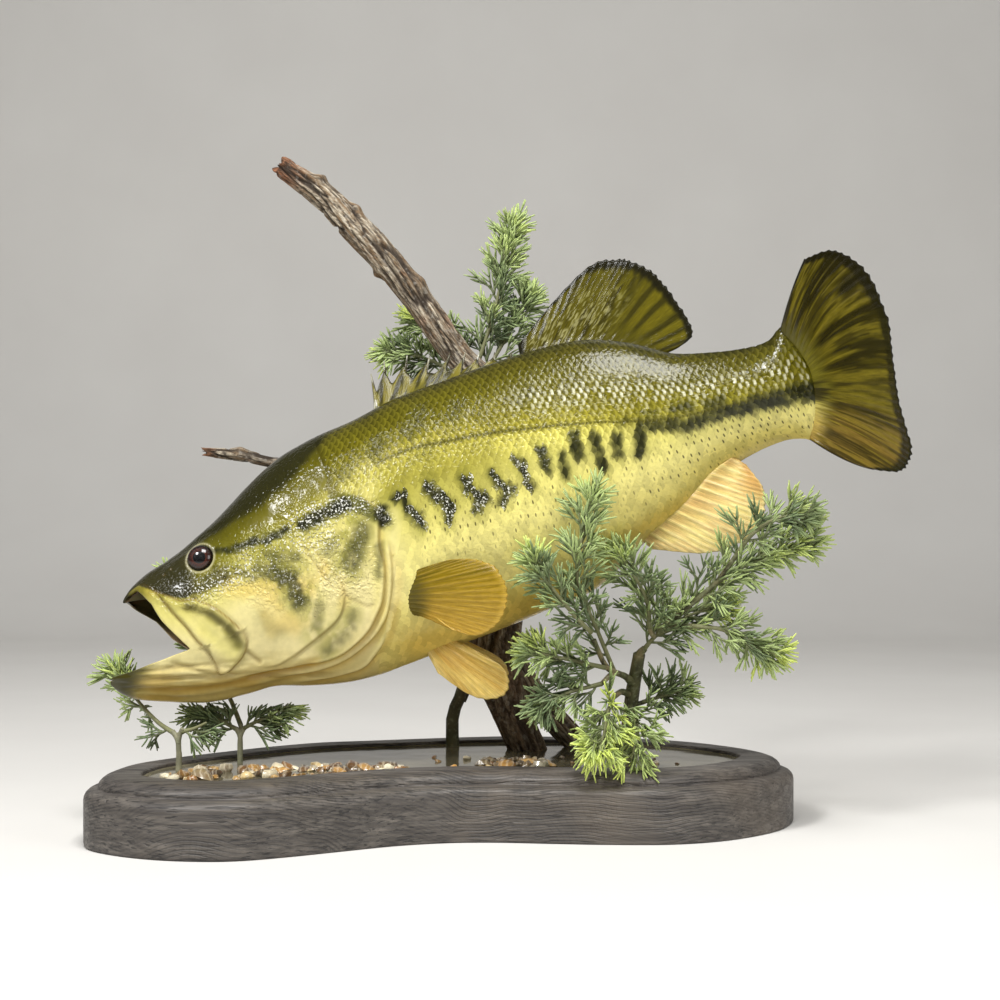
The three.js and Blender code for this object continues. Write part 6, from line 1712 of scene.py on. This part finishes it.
# bare links that carry the sprays on their stem
plantLinks = [
    ([(-170, -36, 57), (-171, -36, 60), (-174, -35, 64)], [1.8, 1.7, 1.6]),
    ([(-170, -36, 58), (-169, -37, 62), (-167, -38, 66)], [1.8, 1.6, 1.5]),
    ([(-136, -4.5, 56), (-137, -4.5, 59), (-139, -4.5, 62)], [1.7, 1.6, 1.5]),
    ([(-136, -4.5, 56), (-135, -4.5, 59), (-133, -4.5, 62.5)], [1.7, 1.6, 1.5]),
    ([(-136, -4, 57), (-136, -3, 60), (-136, -1, 64)], [1.7, 1.6, 1.5]),
    ([(118, 0, 90), (112, -12, 96), (104, -26, 100)], [3.0, 2.2, 1.8]), ([(104, -26, 100), (97, -32, 106), (90, -46, 122)], [2, 1.8, 1.5]),
    ([(104, -26, 100), (100, -32, 98), (95, -38, 94)], [2, 1.7, 1.4]), ([(104, -26, 100), (102, -30, 102), (97, -36, 104)], [2, 1.7, 1.5]),
    ([(120, -6, 104), (121, -9, 110), (124, -13, 114)], [3.6, 2.8, 2.2]), ([(132, -20, 124), (140, -28, 133), (149, -36, 142)], [2.2, 2, 1.9]),
    ([(132, -20, 124), (142, -29, 129), (152, -36, 130)], [2.1, 1.9, 1.8]), ([(130, -19, 122), (128, -21, 124), (126, -24, 128)], [2, 1.8, 1.6]),
    ([(149, -36, 142), (166, -46, 158), (178, -54, 176)], [1.8, 1.6, 1.5]), ([(117, 4, 82), (110, -8, 86), (104, -20, 84)], [2.6, 2.0, 1.8]),
    ([(117, 6, 76), (116, 1, 76), (115, -3, 74)], [2.4, 2.0, 1.7]), ([(117, 4, 78), (120, 3, 77), (124, 2, 78)], [2.0, 1.6, 1.4]),
    ([(14, 84, 268), (15, 82, 282), (19, 80, 293)], [2.4, 2.0, 1.7]), ([(14, 84, 266), (12, 83, 278), (10, 82, 288)], [2.4, 2.0, 1.7]),
    ([(15, 82, 290), (14, 83, 294), (12, 84, 298)], [2.0, 1.8, 1.6]), ([(6, 80, 70), (13, 83, 84), (22, 86, 92)], [2.2, 1.7, 1.2]),
]


def makeStems(material):
    shape = tubeShape(16, 10)
    rows = [(np.array(path, float), np.array(radii, float)) for path, radii in list(plantStems.values()) + plantLinks]
    paths = np.array([along(path, np.linspace(0, 1, 8)) for path, _ in rows])
    radii = np.array([along(r[:, None], np.linspace(0, 1, 8))[:, 0] for _, r in rows])
    points = tubeCopies(paths, radii, shape, 0.3)
    flat = points.reshape(-1, 3)
    knobbly = layeredNoise(flat / 7, 81)
    step = np.broadcast_to(shape[0][None, :, 0], points.shape[:2]).ravel()
    olive, tan, dark, pale = tones((96, 98, 66), (138, 126, 92), (58, 54, 38), (150, 150, 126))
    colour = mixRows(np.broadcast_to(olive, flat.shape), tan, smooth(knobbly, 0.4, 0.65))
    colour = mixRows(colour, dark, 0.7 * smooth(-layeredNoise(flat / [3, 3, 9], 83), -0.45, -0.36))
    colour = mixRows(colour, pale, 0.7 * smooth(-flat[:, 0], 100, 110))
    low = smooth(-flat[:, 1], -76, -70)
    # painted shade on the back stem where it stands behind and below the fish
    colour = mixRows(colour, dark, 0.45 * smooth(flat[:, 1], 70, 76) * smooth(-flat[:, 2], -230, -120))
    points = points + (knobbly.reshape(points.shape[:2]) - 0.5)[..., None] * 0.7
    layers = {"tint": toLinear(colour).reshape(points.shape), "fresh": (0 * step).reshape(points.shape[:2])}
    return joinedPiece("plant_stems", points, shape[1], layers, material, tuple(plantStems))


def spraysFor(piece):
    # twigs that leave each spray's main stem, then forked needles along every twig
    rng = np.random.default_rng(plantValues["seed"] + len(piece))
    mains, twigs, needles, freshMain, freshTwig, freshNeedle = [], [], [], [], [], []
    for name, (path, count, reach, bright, where) in sprigs.items():
        if where != piece:
            continue
        path = np.array(path, float)
        mains.append(along(path, np.linspace(0, 1, 5)))
        freshMain.append(0.25 * bright)
        for i in range(count + 1):
            t = 0.12 + 0.88 * i / count
            here = along(path, np.array(t))
            ahead = unit(along(path, np.array(min(t + 0.02, 1))) - along(path, np.array(max(t - 0.02, 0))))
            turn = 2.4 * i + rng.uniform(-0.4, 0.4)
            across = unit(np.cross(ahead, [0.15, 1, 0.1]))
            out = across * math.cos(turn) + np.cross(ahead, across) * math.sin(turn) * 0.75
            lean = 0.62 + 0.3 * rng.random()
            heading = unit(ahead * 0.8 + out * lean * (1.15 - 0.55 * t))
            long = reach * rng.uniform(0.75, 1.15) * (1 - 0.3 * t)
            bend = rng.normal(0, 0.1, 3) + np.array([0, 0, 0.12])
            mid, end = here + heading * long * 0.5, here + unit(heading + bend) * long
            if end[2] < 44 or (piece == "low" and end[1] < -15 and end[2] > 70 - 0.8 * plantValues["needle"][0]):
                continue
            young = np.clip(0.8 * bright + 0.5 * (t - 0.55) + rng.normal(0, 0.16), 0, 1)
            fan = unit(np.cross(heading, rng.normal(0, 1, 3) * 0.4 + [0.1, 1, 0.1]))
            lift = np.cross(fan, heading)
            branches = [(here, mid, end, heading)]
            for j, at in enumerate((0.3, 0.6)):
                start = along(np.array([here, mid, end]), np.array(at))
                way = unit(heading + fan * (0.75 if j % 2 else -0.75) + lift * rng.normal(0, 0.3))
                stretch = way * long * (0.75 - 0.25 * at)
                branches.append((start, start + stretch * 0.5, start + stretch + [0, 0, 0.08 * long], way))
            for start, middle, last, way in branches:
                if piece == "low" and last[2] > 78 and -44 < last[1] < 25 and last[0] > -202:
                    continue
                twigs.append(np.array([start, middle, last]))
                freshTwig.append(0.4 * young)
                for j, at in enumerate((0.3, 0.45, 0.6, 0.75, 0.9, 1.0, 1.0)):
                    foot = along(np.array([start, middle, last]), np.array(at))
                    hand = 1 if j % 2 else -1
                    out = unit(way + fan * hand * rng.uniform(0.25, 0.6) + lift * rng.normal(0, 0.3))
                    size = rng.uniform(*plantValues["needle"]) * (1.05 - 0.2 * at)
                    elbow = foot + out * size * 0.45
                    curl = unit(out + 0.35 * way + rng.normal(0, 0.12, 3))
                    point = elbow + curl * size * 0.55
                    if piece == "low" and point[2] > 78 and -46 < point[1] < 27 and point[0] > -204:
                        continue
                    needles.append(np.array([foot, elbow, point]))
                    freshNeedle.append(young)
    return [np.array(v) for v in (mains, twigs, needles, freshMain, freshTwig, freshNeedle)]


def makeSprays(piece, material):
    mains, twigs, needles, freshMain, freshTwig, freshNeedle = spraysFor(piece)
    thin = plantValues["thick"]
    built = []
    for paths, fresh, shape, radii in (
            (mains, freshMain, tubeShape(12, 6), [1.7, 1.4, 1.2, 1.0, 0.7]),
            (twigs, freshTwig, tubeShape(4, 4), [0.85, 0.7, 0.5]),
            (needles, freshNeedle, tubeShape(3, 3), [0.8 * thin, 1.15 * thin, 0.7 * thin])):
        radius = np.repeat([radii], len(paths), 0)
        points = tubeCopies(paths, radius, shape, 0.8)
        t = np.broadcast_to(shape[0][None, :, 0], points.shape[:2])
        built.append((points, shape[1], np.repeat(fresh[:, None], t.shape[1], 1), t))
    dark, mid, bright, brown = tones((102, 118, 82), (168, 185, 120), (212, 226, 116), (134, 122, 86))
    corners, table, tints, freshness, first = [], [], [], [], 0
    for kind, (points, faces, fresh, t) in enumerate(built):
        n, k, _ = points.shape
        level = np.clip(fresh + (0.22 * (t - 0.4) if kind == 2 else -0.05), 0, 1)
        colour = mixRows(np.broadcast_to(dark, points.shape), mid, smooth(level, 0.0, 0.5))
        colour = mixRows(colour, bright, smooth(level, 0.5, 1.0))
        if kind < 2:
            colour = mixRows(colour, brown, 0.55 if kind == 0 else 0.3)
        table += [[c + i * k + first for c in face] for i in range(n) for face in faces]
        first += n * k
        corners.append(points.reshape(-1, 3))
        tints.append(toLinear(colour).reshape(-1, 3))
        freshness.append(level.ravel())
    mesh = bpy.data.meshes.new(piece)
    mesh.from_pydata((np.concatenate(corners) * mm).tolist(), [], table)
    addLayers(mesh, {"tint": np.concatenate(tints), "fresh": np.concatenate(freshness)})
    nodes = tuple(name for name, row in sprigs.items() if row[4] == piece)
    made = finishPiece("plant_" + piece, mesh, material, nodes, turn=False)
    print("greenery", piece, len(table), "faces")
    return made


def leafMaterial(name, rough):
    material, tree, shader = newMaterial(name, **{"Roughness": rough, "Specular IOR Level": 0.35})
    tint = attribute(tree, "tint", "Color")
    speck = addNode(tree, "TexNoise", {"Vector": objectPoint(tree), "Scale": 420.0, "Detail": 3.0})
    faded = mixColour(tree, reckon(tree, "MULTIPLY", spread(tree, speck.outputs[0], 0.52, 0.7), 0.3), tint,
                      shade(168, 172, 140))
    look = useGroup(tree, varnishedPaint, Colour=faded, Mottle=0.35, MottleScale=240.0, Lumps=0.25,
                    LumpScale=1200.0)
    tree.links.new(look["Colour"], shader.inputs["Base Color"])
    tree.links.new(look["Normal"], shader.inputs["Normal"])
    sheen = spread(tree, attribute(tree, "fresh"), 0.0, 1.0, 0.6, 0.42)
    tree.links.new(sheen, shader.inputs["Roughness"])
    return material


leafPlastic = leafMaterial("leafPlastic", 0.5)
makeStems(leafMaterial("stemPlastic", 0.6))
for piece in ("front", "back", "low"):
    makeSprays(piece, leafPlastic)


# stage
lamps = {  # place, aim, size and watts of the soft lights
    "overhead": ((0.1, -0.7, 1.62), (0.05, 0, 0.2), 0.65, 27.0),
    "front": ((-1.15, -1.35, 1.6), (0, 0, 0.2), 0.45, 32.5),
    "right": ((1.6, -1.3, 0.9), (0, 0, 0.2), 0.9, 10.0),
}
stageValues = {"front": -4.0, "bend": 1.5, "radius": 0.7, "wide": 9.0, "high": 3.4}


def makeStage():
    # floor that sweeps up into a wall behind
    v = stageValues
    bm = bmesh.new()
    bmesh.ops.create_grid(bm, x_segments=1, y_segments=1, size=0.5)
    for vert in bm.verts:
        vert.co = (vert.co.x * 2 * v["wide"], v["bend"] if vert.co.y > 0 else v["front"], 0)
    far = [e for e in bm.edges if all(vert.co.y > 0 for vert in e.verts)]
    turned = bmesh.ops.spin(bm, geom=far, cent=(0, v["bend"], v["radius"]), axis=(1, 0, 0),
                            angle=math.pi / 2, steps=24)
    rising = [item for item in turned["geom_last"] if isinstance(item, bmesh.types.BMEdge)]
    wall = bmesh.ops.extrude_edge_only(bm, edges=rising)
    for item in wall["geom"]:
        if isinstance(item, bmesh.types.BMVert):
            item.co.z = v["high"]
    bmesh.ops.recalc_face_normals(bm, faces=bm.faces)
    if sum(f.normal.z for f in bm.faces) < 0:
        bmesh.ops.reverse_faces(bm, faces=bm.faces)
    mesh = bpy.data.meshes.new("floor")
    bm.to_mesh(mesh)
    bm.free()
    mesh.polygons.foreach_set("use_smooth", np.ones(len(mesh.polygons), bool))
    material, tree, shader = newMaterial("paleFloor", **{"Roughness": 0.7, "Specular IOR Level": 0.2})
    grain = addNode(tree, "TexNoise", {"Vector": objectPoint(tree), "Scale": 5.0, "Detail": 3.0})
    tree.links.new(mixColour(tree, grain.outputs[0], shade(216, 213, 208), shade(226, 224, 219)),
                   shader.inputs["Base Color"])
    mesh.materials.append(material)
    floor = bpy.data.objects.new("floor", mesh)
    bpy.context.scene.collection.objects.link(floor)


def makeLights():
    for name, (place, aim, size, watts) in lamps.items():
        data = bpy.data.lights.new(name, "AREA")
        data.shape, data.size, data.energy = "SQUARE", size, watts
        lamp = bpy.data.objects.new(name, data)
        lamp.location = place
        lamp.rotation_mode = "QUATERNION"
        lamp.rotation_quaternion = (Vector(aim) - Vector(place)).to_track_quat("-Z", "Y")
        bpy.context.scene.collection.objects.link(lamp)
    world = bpy.data.worlds.new("softRoom")
    world.use_nodes = True
    sky = world.node_tree.nodes["Background"]
    sky.inputs["Color"].default_value = shade(200, 200, 200)
    sky.inputs["Strength"].default_value = 0.3
    bpy.context.scene.world = world
    bpy.context.scene.view_settings.view_transform = "Standard"


def makeCamera():
    data = bpy.data.cameras.new("camera")
    data.sensor_width, data.lens = 36.0, 64.8
    camera = bpy.data.objects.new("camera", data)
    camera.location = (0.0315, -1.164, 0.209)
    camera.rotation_euler = (math.radians(90), 0, 0)
    bpy.context.scene.collection.objects.link(camera)
    bpy.context.scene.camera = camera


makeStage()
makeLights()
makeCamera()
bpy.context.view_layer.update()
